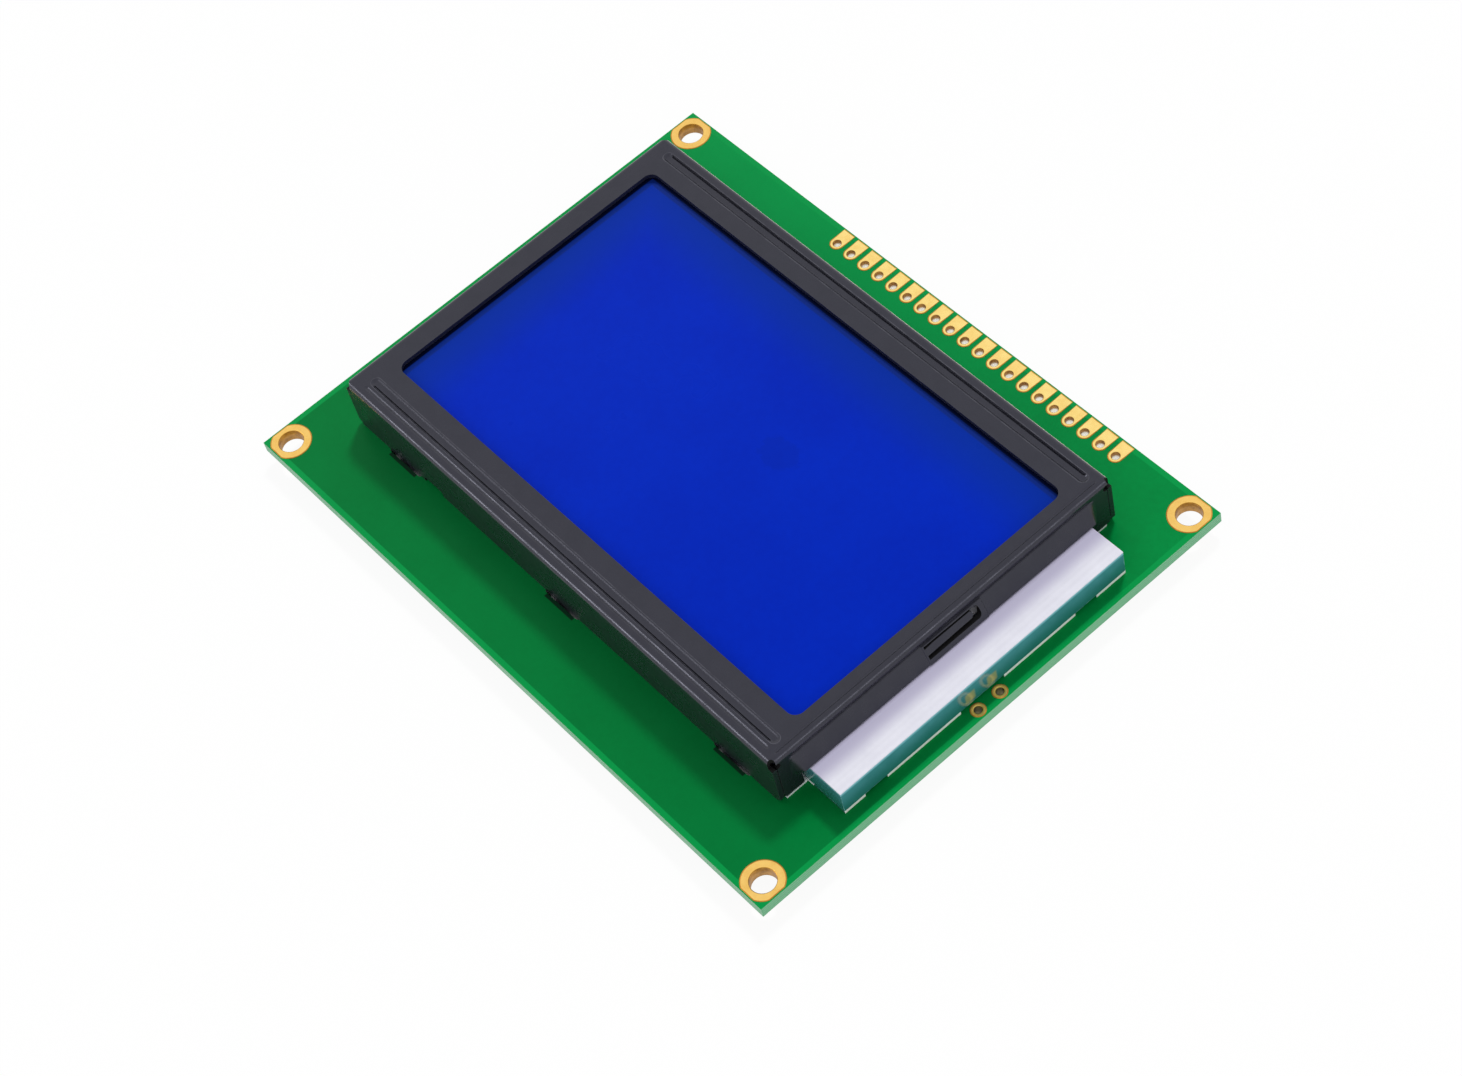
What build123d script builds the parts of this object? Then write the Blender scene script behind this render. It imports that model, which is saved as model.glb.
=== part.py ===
from build123d import *
import os

# Graphic display module, in millimetres, with +Z out of the display face.
# X runs along the board's long side, towards the end where the light guide sticks out.
# Y runs towards the header edge.
# The origin is the centre of the four mounting holes, on the board's back face.

os.makedirs("parts", exist_ok=True)

# Printed board
BOARD_LENGTH = 93.0
BOARD_WIDTH = 70.0
BOARD_THICKNESS = 1.6
COPPER = 0.05                  # pads stand this proud of the board
COPPER_TO_EDGE = 0.15

# Mounting holes
MOUNT_INSET = 2.5              # from the board's edges to the hole centres
MOUNT_HOLE_DIAMETER = 3.2
MOUNT_RING_DIAMETER = 5.2

# Header holes, one row beside the back edge
HEADER_COUNT = 20
HEADER_PITCH = 2.54
HEADER_CENTRE_X = 7.9
HEADER_INSET = 2.3             # from the back edge to the hole centres
HEADER_HOLE_DIAMETER = 1.1
HEADER_PAD_WIDTH = 1.9

# Lamp supply holes, beside the right edge
LAMP_INSET = 1.15              # from the right edge to the hole centres
LAMP_CENTRE_Y = -0.1
LAMP_SPACING = 3.3
LAMP_HOLE_DIAMETER = 1.0
LAMP_RING_DIAMETER = 1.9

# Bezel, a folded sheet
SHEET = 0.6
BEND_RADIUS = 0.7              # outside of the fold
WINDOW_LENGTH = 72.4
WINDOW_WIDTH = 40.5
WINDOW_CENTRE_X = -0.35
WINDOW_CENTRE_Y = 1.3
WINDOW_CORNER = 1.3
BORDER_LEFT = 3.3              # from the window to the bezel's outside
BORDER_RIGHT = 2.5
BORDER_FRONT = 5.8
BORDER_BACK = 4.9

# Pressed beads along the long sides
BEAD_PAST_WINDOW = 0.8         # at each end
BEAD_WIDTH = 1.3
BEAD_DEPTH = 0.25
BEAD_RIB_DEPTH = 0.5           # how far the underside comes down to the glass
FRONT_BEAD_INSET = 2.65        # from the bezel's outside to the bead's middle
BACK_BEAD_INSET = 2.0
CREASE_WIDTH = 0.3             # narrow groove along the bead's outer side
CREASE_DEPTH = 0.3             # below the bead's floor
TROUGH_INSET = 1.3             # shallow groove beside the front fold
TROUGH_WIDTH = 0.55
TROUGH_DEPTH = 0.12

# Skirt details
CORNER_SLIT = 0.4
CORNER_SLIT_DROP = 1.1         # from the bezel's face
CORNER_RELIEF_DIAMETER = 0.9
SKIRT_CHAMFER = 0.8
SKIRT_NOTCH_WIDTH = 3.6
SKIRT_NOTCH_HEIGHT = 0.9
SKIRT_NOTCH_FROM_TAB = 5.85    # from the left tab's middle
END_SKIRT_GAP = 0.5            # right skirt stops this far above the board

# Tabs that pass through the board and are twisted behind it
TAB_PITCH = 30.3
TAB_WIDTH = 6.0
TAB_SLOT_LENGTH = 6.4
TAB_SLOT_WIDTH = 1.0
TAB_BLADE_WIDTH = 4.0
TAB_BLADE_DROP = 1.35          # below the board
TAB_TWIST = 35.0
TAB_SEAT = 0.05                # blade to board

# Hood over the light guide
HOOD_DROP = 1.5                # from the bezel's face to the crease
HOOD_REACH = 1.2               # how far the lip stands out from the skirt
HOOD_LIP_CLEARANCE = 0.15      # above the cover film
HOOD_SIDE_CLEARANCE = 0.5

# Lanced slot in the hood, with a tongue left in it
LANCE_CENTRE_Y = 1.35
LANCE_LENGTH = 7.9
LANCE_DROP = 0.2               # from the crease
LANCE_HEIGHT = 1.35
LANCE_GAP = 0.4
LANCE_TOP_GAP = 0.15

# Liquid-crystal cell
GLASS_THICKNESS = 1.1
GLASS_CLEARANCE = 0.3          # to the bezel's skirts
REAR_GLASS_TO_STRIP = 0.3
POLARISER_THICKNESS = 0.2
FRONT_POLARISER_LAP = 1.0      # past the window on each side
REAR_POLARISER_INSET = 0.1
SEAL_LENGTH = 3.0
SEAL_HEIGHT = 1.0
SEAL_REACH = 0.25

# Backlight
FRAME_CLEARANCE = 0.1          # to the bezel's skirts
FRAME_END_WALL = 1.1
FRAME_SIDE_WALL = 0.7          # outside each contact strip
FRAME_FRONT_RIB = 0.5          # between a contact strip and the light guide
FRAME_BACK_RIB = 0.9
FRAME_FOOT_REACH = 0.6        # corner feet past the frame's right end
FRAME_FOOT_WIDTH = 3.0
FRAME_FOOT_HEIGHT = 0.4
GUIDE_THICKNESS = 3.45
GUIDE_TO_LAMP_HOLES = 1.0      # from the light guide's end to the hole centres
GUIDE_CLEARANCE = 0.1
FILM_THICKNESS = 0.2
FILM_CLEARANCE = 0.2           # above the inner films
FILM_INSET = 0.15              # inner films stop this far inside the bezel's right side
FILM_JOINT = 0.2               # between the inner films and the cover film

# Contact strips
STRIP_WIDTH = 1.8
STRIP_END_WALL = 2.0           # of the frame, past each strip's slot
STRIP_CLEARANCE = 0.1

# Lamp strip under the light guide's end
LAMP_STRIP_WIDTH = 5.0
LAMP_STRIP_THICKNESS = 0.45
LAMP_NOTCH_DEPTH = 1.2
SIDE_NOTCH_WIDTH = 3.3
SIDE_NOTCH_SPACING = 31.9
MIDDLE_NOTCH_WIDTH = 6.6
LAMP_COUNT = 4
LAMP_PITCH = 9.8
LAMP_LENGTH = 2.0
LAMP_WIDTH = 1.25
LAMP_HEIGHT = 0.8
LAMP_POCKET_CLEARANCE = 0.15

# Back of the board
COVER_DIAMETER = 15.0
COVER_HEIGHT = 1.9
COVER_FLAT_DIAMETER = 5.0
COVER_FRONT_SPACING = 54.0
COVER_FRONT_Y = -9.0
COVER_BACK_X = 3.0
COVER_BACK_Y = 12.0
CHIP_LENGTH = 2.0
CHIP_WIDTH = 1.25
RESISTOR_HEIGHT = 0.5
RESISTOR_CENTRE_X = -2.0
RESISTOR_CENTRE_Y = -21.0
RESISTOR_PITCH = 3.2
RESISTOR_COUNT = 8
CAPACITOR_HEIGHT = 0.9
CAPACITOR_CENTRE_X = -30.0
CAPACITOR_CENTRE_Y = 12.0
CAPACITOR_PITCH = 3.4
CAPACITOR_COLUMNS = 3
CAPACITOR_ROWS = 2
CONVERTER_CENTRE_X = -30.0
CONVERTER_CENTRE_Y = 19.0
CONVERTER_LENGTH = 4.9
CONVERTER_WIDTH = 3.9
CONVERTER_HEIGHT = 1.4
CONVERTER_STAND_OFF = 0.1
CONVERTER_CHAMFER = 0.2
LEAD_PITCH = 1.27
LEAD_WIDTH = 0.42
LEAD_THICKNESS = 0.2
LEAD_REACH = 1.05
LEAD_KNEE = 0.47               # from the body to the lead's downward run
LEADS_PER_SIDE = 4

# Planes and outlines that several pieces share
TOP = Plane.XY.offset(BOARD_THICKNESS)
BACK = Plane.XY
MOUNT_SPACING_X = BOARD_LENGTH - 2 * MOUNT_INSET
MOUNT_SPACING_Y = BOARD_WIDTH - 2 * MOUNT_INSET
HEADER_Y = BOARD_WIDTH / 2 - HEADER_INSET
LAMP_X = BOARD_LENGTH / 2 - LAMP_INSET
GUIDE_END_X = LAMP_X - GUIDE_TO_LAMP_HOLES

# The bezel's outline follows from its window and borders
BEZEL_LENGTH = WINDOW_LENGTH + BORDER_LEFT + BORDER_RIGHT
BEZEL_WIDTH = WINDOW_WIDTH + BORDER_FRONT + BORDER_BACK
BEZEL_RIGHT = WINDOW_CENTRE_X + WINDOW_LENGTH / 2 + BORDER_RIGHT
BEZEL_FRONT = WINDOW_CENTRE_Y - WINDOW_WIDTH / 2 - BORDER_FRONT
BEZEL_BACK = WINDOW_CENTRE_Y + WINDOW_WIDTH / 2 + BORDER_BACK
BEZEL_CENTRE_X = BEZEL_RIGHT - BEZEL_LENGTH / 2
BEZEL_CENTRE_Y = (BEZEL_FRONT + BEZEL_BACK) / 2
INNER_LENGTH = BEZEL_LENGTH - 2 * SHEET
INNER_WIDTH = BEZEL_WIDTH - 2 * SHEET
BEAD_LENGTH = WINDOW_LENGTH + 2 * BEAD_PAST_WINDOW

# Levels above the board, from the lamp strip up to the bezel's face
GUIDE_LOW = LAMP_STRIP_THICKNESS
GUIDE_TOP = GUIDE_LOW + GUIDE_THICKNESS
FRAME_HEIGHT = GUIDE_TOP + 2 * FILM_THICKNESS + FILM_CLEARANCE
REAR_GLASS_LOW = FRAME_HEIGHT + POLARISER_THICKNESS
FRONT_GLASS_LOW = REAR_GLASS_LOW + GLASS_THICKNESS
FRONT_GLASS_TOP = FRONT_GLASS_LOW + GLASS_THICKNESS
BEZEL_HEIGHT = FRONT_GLASS_TOP + BEAD_RIB_DEPTH + SHEET
HOOD_TOP = BEZEL_HEIGHT - HOOD_DROP
HOOD_LIP = GUIDE_TOP + FILM_THICKNESS + HOOD_LIP_CLEARANCE
LANCE_HIGH = HOOD_TOP - LANCE_DROP
LANCE_LOW = LANCE_HIGH - LANCE_HEIGHT
CORNER_SLIT_TOP = BEZEL_HEIGHT - CORNER_SLIT_DROP

# Outlines inside the bezel, from its skirts inwards
GLASS_LENGTH = INNER_LENGTH - 2 * GLASS_CLEARANCE
FRONT_GLASS_WIDTH = INNER_WIDTH - 2 * GLASS_CLEARANCE
GLASS_RIGHT = BEZEL_CENTRE_X + GLASS_LENGTH / 2
FRAME_LENGTH = INNER_LENGTH - 2 * FRAME_CLEARANCE
FRAME_WIDTH = INNER_WIDTH - 2 * FRAME_CLEARANCE
FRAME_RIGHT = BEZEL_CENTRE_X + FRAME_LENGTH / 2
FRAME_LEFT = BEZEL_CENTRE_X - FRAME_LENGTH / 2
STRIP_SLOT_LENGTH = FRAME_LENGTH - 2 * STRIP_END_WALL
STRIP_SLOT_WIDTH = STRIP_WIDTH + 2 * STRIP_CLEARANCE
STRIP_OFFSET_Y = FRAME_WIDTH / 2 - FRAME_SIDE_WALL - STRIP_SLOT_WIDTH / 2
REAR_GLASS_WIDTH = 2 * (STRIP_OFFSET_Y - STRIP_WIDTH / 2 - REAR_GLASS_TO_STRIP)
POCKET_FRONT = BEZEL_CENTRE_Y - STRIP_OFFSET_Y + STRIP_SLOT_WIDTH / 2 + FRAME_FRONT_RIB
POCKET_BACK = BEZEL_CENTRE_Y + STRIP_OFFSET_Y - STRIP_SLOT_WIDTH / 2 - FRAME_BACK_RIB
POCKET_WIDTH = POCKET_BACK - POCKET_FRONT
GUIDE_WIDTH = POCKET_WIDTH - 2 * GUIDE_CLEARANCE
GUIDE_CENTRE_Y = (POCKET_FRONT + POCKET_BACK) / 2
GUIDE_START_X = FRAME_LEFT + FRAME_END_WALL + GUIDE_CLEARANCE
FILM_END_X = BEZEL_RIGHT - FILM_INSET
LAMP_STRIP_START = GUIDE_END_X - LAMP_STRIP_WIDTH
LAMP_ROW_X = LAMP_STRIP_START + (LAMP_STRIP_WIDTH - LAMP_NOTCH_DEPTH) / 2

# Rows and patterns
TAB_XS = [WINDOW_CENTRE_X + TAB_PITCH * step for step in (-1, 0, 1)]
TAB_YS = [BEZEL_FRONT + SHEET / 2, BEZEL_BACK - SHEET / 2]
MOUNT_PLACES = [
    (side_x * MOUNT_SPACING_X / 2, side_y * MOUNT_SPACING_Y / 2)
    for side_x, side_y in ((-1, -1), (1, -1), (1, 1), (-1, 1))
]
HEADER_XS = [
    HEADER_CENTRE_X + (number - (HEADER_COUNT - 1) / 2) * HEADER_PITCH
    for number in range(HEADER_COUNT)
]
LAMP_YS = [LAMP_CENTRE_Y - LAMP_SPACING / 2, LAMP_CENTRE_Y + LAMP_SPACING / 2]
COVER_PLACES = [
    (-COVER_FRONT_SPACING / 2, COVER_FRONT_Y),
    (COVER_BACK_X, COVER_BACK_Y),
    (COVER_FRONT_SPACING / 2, COVER_FRONT_Y),
]


def save(solid, name):
    """Label one piece and write it to its own file."""
    solid.label = name
    export_step(solid, f"parts/{name}.step")


def above_board(height):
    """The plane this far above the board's top face."""
    return Plane.XY.offset(BOARD_THICKNESS + height)


def slab(low, thickness, length, width, centre_x, centre_y):
    """A flat rectangular piece whose underside is this far above the board."""
    with BuildPart() as piece:
        with BuildSketch(above_board(low)):
            with Locations((centre_x, centre_y)):
                Rectangle(length, width)
        extrude(amount=thickness)
    return piece.part


def slab_between(low, thickness, start_x, end_x, width, centre_y):
    """A flat rectangular piece between two places along X."""
    return slab(low, thickness, end_x - start_x, width, (start_x + end_x) / 2, centre_y)


def plated_hole(outline, x, y, hole_diameter):
    """A pad on each face of the board, round the same hole."""
    with BuildPart() as pad:
        for face, growth in ((TOP, COPPER), (BACK, -COPPER)):
            with BuildSketch(face):
                add(outline)
                with Locations((x, y)):
                    Circle(hole_diameter / 2, mode=Mode.SUBTRACT)
            extrude(amount=growth)
    return pad.part


# Printed board
with BuildPart() as circuit_board:
    with BuildSketch(BACK):
        Rectangle(BOARD_LENGTH, BOARD_WIDTH)
    extrude(amount=BOARD_THICKNESS)
    with Locations(*[(x, y, BOARD_THICKNESS) for x, y in MOUNT_PLACES]):
        Hole(MOUNT_HOLE_DIAMETER / 2)
    with Locations(*[(x, HEADER_Y, BOARD_THICKNESS) for x in HEADER_XS]):
        Hole(HEADER_HOLE_DIAMETER / 2)
    with Locations(*[(LAMP_X, y, BOARD_THICKNESS) for y in LAMP_YS]):
        Hole(LAMP_HOLE_DIAMETER / 2)
    with BuildSketch(BACK):
        with Locations(*[(x, y) for x in TAB_XS for y in TAB_YS]):
            SlotOverall(TAB_SLOT_LENGTH, TAB_SLOT_WIDTH)
    extrude(amount=BOARD_THICKNESS, mode=Mode.SUBTRACT)
save(circuit_board.part, "circuit_board")

# Copper stays inside the board's outline
with BuildSketch() as copper_area:
    Rectangle(BOARD_LENGTH - 2 * COPPER_TO_EDGE, BOARD_WIDTH - 2 * COPPER_TO_EDGE)


def ring_outline(x, y, diameter):
    """A round pad, cut off where it would pass the copper's limit."""
    with BuildSketch() as ring:
        with Locations((x, y)):
            Circle(diameter / 2)
        add(copper_area.sketch, mode=Mode.INTERSECT)
    return ring.sketch


def thumb_outline(x):
    """A header pad: round around its hole and square at the board's edge."""
    tail = BOARD_WIDTH / 2 - COPPER_TO_EDGE - HEADER_Y
    with BuildSketch() as thumb:
        with Locations((x, HEADER_Y)):
            Circle(HEADER_PAD_WIDTH / 2)
        with Locations((x, HEADER_Y + tail / 2)):
            Rectangle(HEADER_PAD_WIDTH, tail)
    return thumb.sketch


for number, (x, y) in enumerate(MOUNT_PLACES, start=1):
    ring = ring_outline(x, y, MOUNT_RING_DIAMETER)
    save(plated_hole(ring, x, y, MOUNT_HOLE_DIAMETER), f"mounting_pad_{number}")

for number, x in enumerate(HEADER_XS, start=1):
    pad = plated_hole(thumb_outline(x), x, HEADER_Y, HEADER_HOLE_DIAMETER)
    save(pad, f"header_pad_{number:02d}")

for name, y in zip(("cathode", "anode"), LAMP_YS):
    ring = ring_outline(LAMP_X, y, LAMP_RING_DIAMETER)
    save(plated_hole(ring, LAMP_X, y, LAMP_HOLE_DIAMETER), f"lamp_pad_{name}")

# Bezel: the space inside the folded sheet
with BuildPart() as bezel_inside:
    with BuildSketch(TOP):
        with Locations((BEZEL_CENTRE_X, BEZEL_CENTRE_Y)):
            Rectangle(INNER_LENGTH, INNER_WIDTH)
    extrude(amount=BEZEL_HEIGHT - SHEET)
    fillet(bezel_inside.faces().sort_by(Axis.Z)[-1].edges(), BEND_RADIUS - SHEET)

# Bezel: the hood's folded section, drawn in XZ and run along the light guide,
# with a cheek that closes each end
HOOD_LENGTH = GUIDE_WIDTH + 2 * HOOD_SIDE_CLEARANCE
HOOD_SLOPE = (HOOD_TOP - HOOD_LIP) / HOOD_REACH
HOOD_INNER_STEP = SHEET * ((1 + HOOD_SLOPE**2) ** 0.5 - HOOD_SLOPE)
HOOD_LIP_STEP = SHEET * (1 + HOOD_SLOPE**2) ** 0.5 / HOOD_SLOPE
with BuildPart() as hood:
    with BuildSketch(Plane.XZ.offset(-(GUIDE_CENTRE_Y + HOOD_LENGTH / 2))):
        with BuildLine():
            Polyline(
                (BEZEL_RIGHT - SHEET, BOARD_THICKNESS + HOOD_TOP + SHEET),
                (BEZEL_RIGHT, BOARD_THICKNESS + HOOD_TOP + SHEET),
                (BEZEL_RIGHT, BOARD_THICKNESS + HOOD_TOP),
                (BEZEL_RIGHT + HOOD_REACH, BOARD_THICKNESS + HOOD_LIP),
                (BEZEL_RIGHT + HOOD_REACH - HOOD_LIP_STEP, BOARD_THICKNESS + HOOD_LIP),
                (BEZEL_RIGHT - SHEET, BOARD_THICKNESS + HOOD_TOP - HOOD_INNER_STEP),
                close=True,
            )
        make_face()
    extrude(amount=HOOD_LENGTH)
    for cheek_end in (HOOD_LENGTH / 2, SHEET - HOOD_LENGTH / 2):
        with BuildSketch(Plane.XZ.offset(-(GUIDE_CENTRE_Y + cheek_end))):
            with BuildLine():
                Polyline(
                    (BEZEL_RIGHT - SHEET, BOARD_THICKNESS + HOOD_TOP),
                    (BEZEL_RIGHT, BOARD_THICKNESS + HOOD_TOP),
                    (BEZEL_RIGHT + HOOD_REACH, BOARD_THICKNESS + HOOD_LIP),
                    (BEZEL_RIGHT, BOARD_THICKNESS + HOOD_LIP),
                    (BEZEL_RIGHT - SHEET, BOARD_THICKNESS + FRAME_HEIGHT),
                    close=True,
                )
            make_face()
        extrude(amount=SHEET)

BEADS = (
    (BEZEL_FRONT + FRONT_BEAD_INSET, -1),
    (BEZEL_BACK - BACK_BEAD_INSET, 1),
)

with BuildPart() as bezel:
    with BuildSketch(TOP):
        with Locations((BEZEL_CENTRE_X, BEZEL_CENTRE_Y)):
            Rectangle(BEZEL_LENGTH, BEZEL_WIDTH)
    extrude(amount=BEZEL_HEIGHT)
    fillet(bezel.faces().sort_by(Axis.Z)[-1].edges(), BEND_RADIUS)
    add(bezel_inside.part, mode=Mode.SUBTRACT)
    # Window
    with BuildSketch(above_board(BEZEL_HEIGHT)):
        with Locations((WINDOW_CENTRE_X, WINDOW_CENTRE_Y)):
            RectangleRounded(WINDOW_LENGTH, WINDOW_WIDTH, WINDOW_CORNER)
    extrude(amount=-SHEET, mode=Mode.SUBTRACT)
    # Beads: ribs that bear on the glass, channels and creases in the face
    for bead_y, outward in BEADS:
        crease_y = bead_y + outward * (BEAD_WIDTH - CREASE_WIDTH) / 2
        with BuildSketch(above_board(FRONT_GLASS_TOP)):
            with Locations((WINDOW_CENTRE_X, bead_y)):
                SlotOverall(BEAD_LENGTH, BEAD_WIDTH)
        extrude(amount=BEAD_RIB_DEPTH)
        with BuildSketch(above_board(BEZEL_HEIGHT)):
            with Locations((WINDOW_CENTRE_X, bead_y)):
                SlotOverall(BEAD_LENGTH, BEAD_WIDTH)
        extrude(amount=-BEAD_DEPTH, taper=30, mode=Mode.SUBTRACT)
        with BuildSketch(above_board(BEZEL_HEIGHT)):
            with Locations((WINDOW_CENTRE_X, crease_y)):
                SlotOverall(BEAD_LENGTH - BEAD_WIDTH, CREASE_WIDTH)
        extrude(amount=-(BEAD_DEPTH + CREASE_DEPTH), mode=Mode.SUBTRACT)
    with BuildSketch(above_board(BEZEL_HEIGHT)):
        with Locations((WINDOW_CENTRE_X, BEZEL_FRONT + TROUGH_INSET)):
            SlotOverall(BEAD_LENGTH, TROUGH_WIDTH)
    extrude(amount=-TROUGH_DEPTH, taper=45, mode=Mode.SUBTRACT)
    # Corner slits in the short skirts, each with a round relief at its top
    with BuildSketch(Plane.YZ.offset(BEZEL_CENTRE_X)):
        for side in (-1, 1):
            slit_y = BEZEL_CENTRE_Y + side * (INNER_WIDTH - CORNER_SLIT) / 2
            with Locations((slit_y, BOARD_THICKNESS + CORNER_SLIT_TOP / 2)):
                Rectangle(CORNER_SLIT, CORNER_SLIT_TOP)
            with Locations((slit_y, BOARD_THICKNESS + CORNER_SLIT_TOP)):
                Circle(CORNER_RELIEF_DIAMETER / 2)
    extrude(amount=BEZEL_LENGTH, both=True, mode=Mode.SUBTRACT)
    # Chamfered lower corners of the long skirts
    with BuildSketch(Plane.XZ.offset(-BEZEL_CENTRE_Y)):
        for side in (-1, 1):
            with BuildLine():
                corner = BEZEL_CENTRE_X + side * BEZEL_LENGTH / 2
                Polyline(
                    (corner, BOARD_THICKNESS),
                    (corner - side * SKIRT_CHAMFER, BOARD_THICKNESS),
                    (corner, BOARD_THICKNESS + SKIRT_CHAMFER),
                    close=True,
                )
            make_face()
    extrude(amount=BEZEL_WIDTH, both=True, mode=Mode.SUBTRACT)
    # Notches in the long skirts
    with BuildSketch(Plane.XZ.offset(-BEZEL_CENTRE_Y)):
        with Locations((TAB_XS[0] + SKIRT_NOTCH_FROM_TAB, BOARD_THICKNESS)):
            RectangleRounded(SKIRT_NOTCH_WIDTH, 2 * SKIRT_NOTCH_HEIGHT, SKIRT_NOTCH_HEIGHT / 2)
    extrude(amount=BEZEL_WIDTH, both=True, mode=Mode.SUBTRACT)
    # The right skirt stops short of the board, and opens for the light guide
    with BuildSketch(Plane.YZ.offset(BEZEL_RIGHT - SHEET)):
        with Locations((BEZEL_CENTRE_Y, BOARD_THICKNESS + END_SKIRT_GAP / 2)):
            Rectangle(INNER_WIDTH, END_SKIRT_GAP)
        with Locations((GUIDE_CENTRE_Y, BOARD_THICKNESS + HOOD_TOP / 2)):
            Rectangle(HOOD_LENGTH, HOOD_TOP)
    extrude(amount=SHEET, mode=Mode.SUBTRACT)
    add(hood.part)
    # Lanced slot: gaps above, below and at one end of a tongue
    lance_middle_z = BOARD_THICKNESS + (LANCE_LOW + LANCE_HIGH) / 2
    with BuildSketch(Plane.YZ.offset(BEZEL_RIGHT - SHEET)):
        with Locations((LANCE_CENTRE_Y, BOARD_THICKNESS + LANCE_LOW + LANCE_GAP / 2)):
            Rectangle(LANCE_LENGTH, LANCE_GAP)
        with Locations((LANCE_CENTRE_Y, BOARD_THICKNESS + LANCE_HIGH - LANCE_TOP_GAP / 2)):
            Rectangle(LANCE_LENGTH, LANCE_TOP_GAP)
        with Locations((LANCE_CENTRE_Y + (LANCE_LENGTH - LANCE_GAP) / 2, lance_middle_z)):
            Rectangle(LANCE_GAP, LANCE_HIGH - LANCE_LOW)
    extrude(amount=SHEET + HOOD_REACH, mode=Mode.SUBTRACT)
    # Tabs: a shank through the board, then a blade twisted behind it
    for tab_y in TAB_YS:
        for tab_x in TAB_XS:
            with BuildSketch(Plane.XY.offset(-TAB_SEAT)):
                with Locations((tab_x, tab_y)):
                    Rectangle(TAB_WIDTH, SHEET)
            extrude(amount=BOARD_THICKNESS + TAB_SEAT + SKIRT_NOTCH_HEIGHT)
            with BuildSketch(Plane.XY.offset(-TAB_SEAT)):
                with Locations(Location((tab_x, tab_y, 0), (0, 0, TAB_TWIST))):
                    Rectangle(TAB_BLADE_WIDTH, SHEET)
            extrude(amount=-TAB_BLADE_DROP)
save(bezel.part, "bezel")

# Liquid-crystal cell, from the window down
front_polariser = slab(
    FRONT_GLASS_TOP,
    POLARISER_THICKNESS,
    WINDOW_LENGTH + 2 * FRONT_POLARISER_LAP,
    WINDOW_WIDTH + 2 * FRONT_POLARISER_LAP,
    WINDOW_CENTRE_X,
    WINDOW_CENTRE_Y,
)
save(front_polariser, "front_polariser")
front_glass = slab(
    FRONT_GLASS_LOW,
    GLASS_THICKNESS,
    GLASS_LENGTH,
    FRONT_GLASS_WIDTH,
    BEZEL_CENTRE_X,
    BEZEL_CENTRE_Y,
)
save(front_glass, "front_glass")
rear_glass = slab(
    REAR_GLASS_LOW,
    GLASS_THICKNESS,
    GLASS_LENGTH,
    REAR_GLASS_WIDTH,
    BEZEL_CENTRE_X,
    BEZEL_CENTRE_Y,
)
save(rear_glass, "rear_glass")
rear_polariser = slab(
    REAR_GLASS_LOW - POLARISER_THICKNESS,
    POLARISER_THICKNESS,
    GLASS_LENGTH - 2 * REAR_POLARISER_INSET,
    REAR_GLASS_WIDTH - 2 * REAR_POLARISER_INSET,
    BEZEL_CENTRE_X,
    BEZEL_CENTRE_Y,
)
save(rear_polariser, "rear_polariser")

# Drop of sealant over the cell's filling port, on its right edge
with BuildPart() as fill_port_seal:
    with BuildSketch(above_board(FRONT_GLASS_LOW - SEAL_HEIGHT / 2)):
        with BuildLine():
            ThreePointArc(
                (GLASS_RIGHT, BEZEL_CENTRE_Y - SEAL_LENGTH / 2),
                (GLASS_RIGHT + SEAL_REACH, BEZEL_CENTRE_Y),
                (GLASS_RIGHT, BEZEL_CENTRE_Y + SEAL_LENGTH / 2),
            )
            Line(
                (GLASS_RIGHT, BEZEL_CENTRE_Y + SEAL_LENGTH / 2),
                (GLASS_RIGHT, BEZEL_CENTRE_Y - SEAL_LENGTH / 2),
            )
        make_face()
    extrude(amount=SEAL_HEIGHT)
save(fill_port_seal.part, "fill_port_seal")

# Contact strips from the board up to the front glass
for name, side in (("front", -1), ("back", 1)):
    strip = slab(
        0,
        FRONT_GLASS_LOW,
        STRIP_SLOT_LENGTH - 2 * STRIP_CLEARANCE,
        STRIP_WIDTH,
        BEZEL_CENTRE_X,
        BEZEL_CENTRE_Y + side * STRIP_OFFSET_Y,
    )
    save(strip, f"contact_strip_{name}")

# Backlight frame: open at its right end, with a slot for each contact strip
with BuildPart() as backlight_frame:
    with BuildSketch(TOP):
        with Locations((BEZEL_CENTRE_X, BEZEL_CENTRE_Y)):
            Rectangle(FRAME_LENGTH, FRAME_WIDTH)
        with Locations(
            (BEZEL_CENTRE_X, BEZEL_CENTRE_Y - STRIP_OFFSET_Y),
            (BEZEL_CENTRE_X, BEZEL_CENTRE_Y + STRIP_OFFSET_Y),
        ):
            Rectangle(STRIP_SLOT_LENGTH, STRIP_SLOT_WIDTH, mode=Mode.SUBTRACT)
    extrude(amount=FRAME_HEIGHT)
    with BuildSketch(TOP):
        for side in (-1, 1):
            foot_y = GUIDE_CENTRE_Y + side * (POCKET_WIDTH + FRAME_FOOT_WIDTH) / 2
            with Locations((FRAME_RIGHT, foot_y)):
                Rectangle(2 * FRAME_FOOT_REACH, FRAME_FOOT_WIDTH)
    extrude(amount=FRAME_FOOT_HEIGHT)
    with BuildSketch(TOP):
        with Locations((GUIDE_START_X - GUIDE_CLEARANCE, GUIDE_CENTRE_Y)):
            Rectangle(BOARD_LENGTH, POCKET_WIDTH, align=(Align.MIN, Align.CENTER))
    extrude(amount=FRAME_HEIGHT, mode=Mode.SUBTRACT)
save(backlight_frame.part, "backlight_frame")

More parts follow.
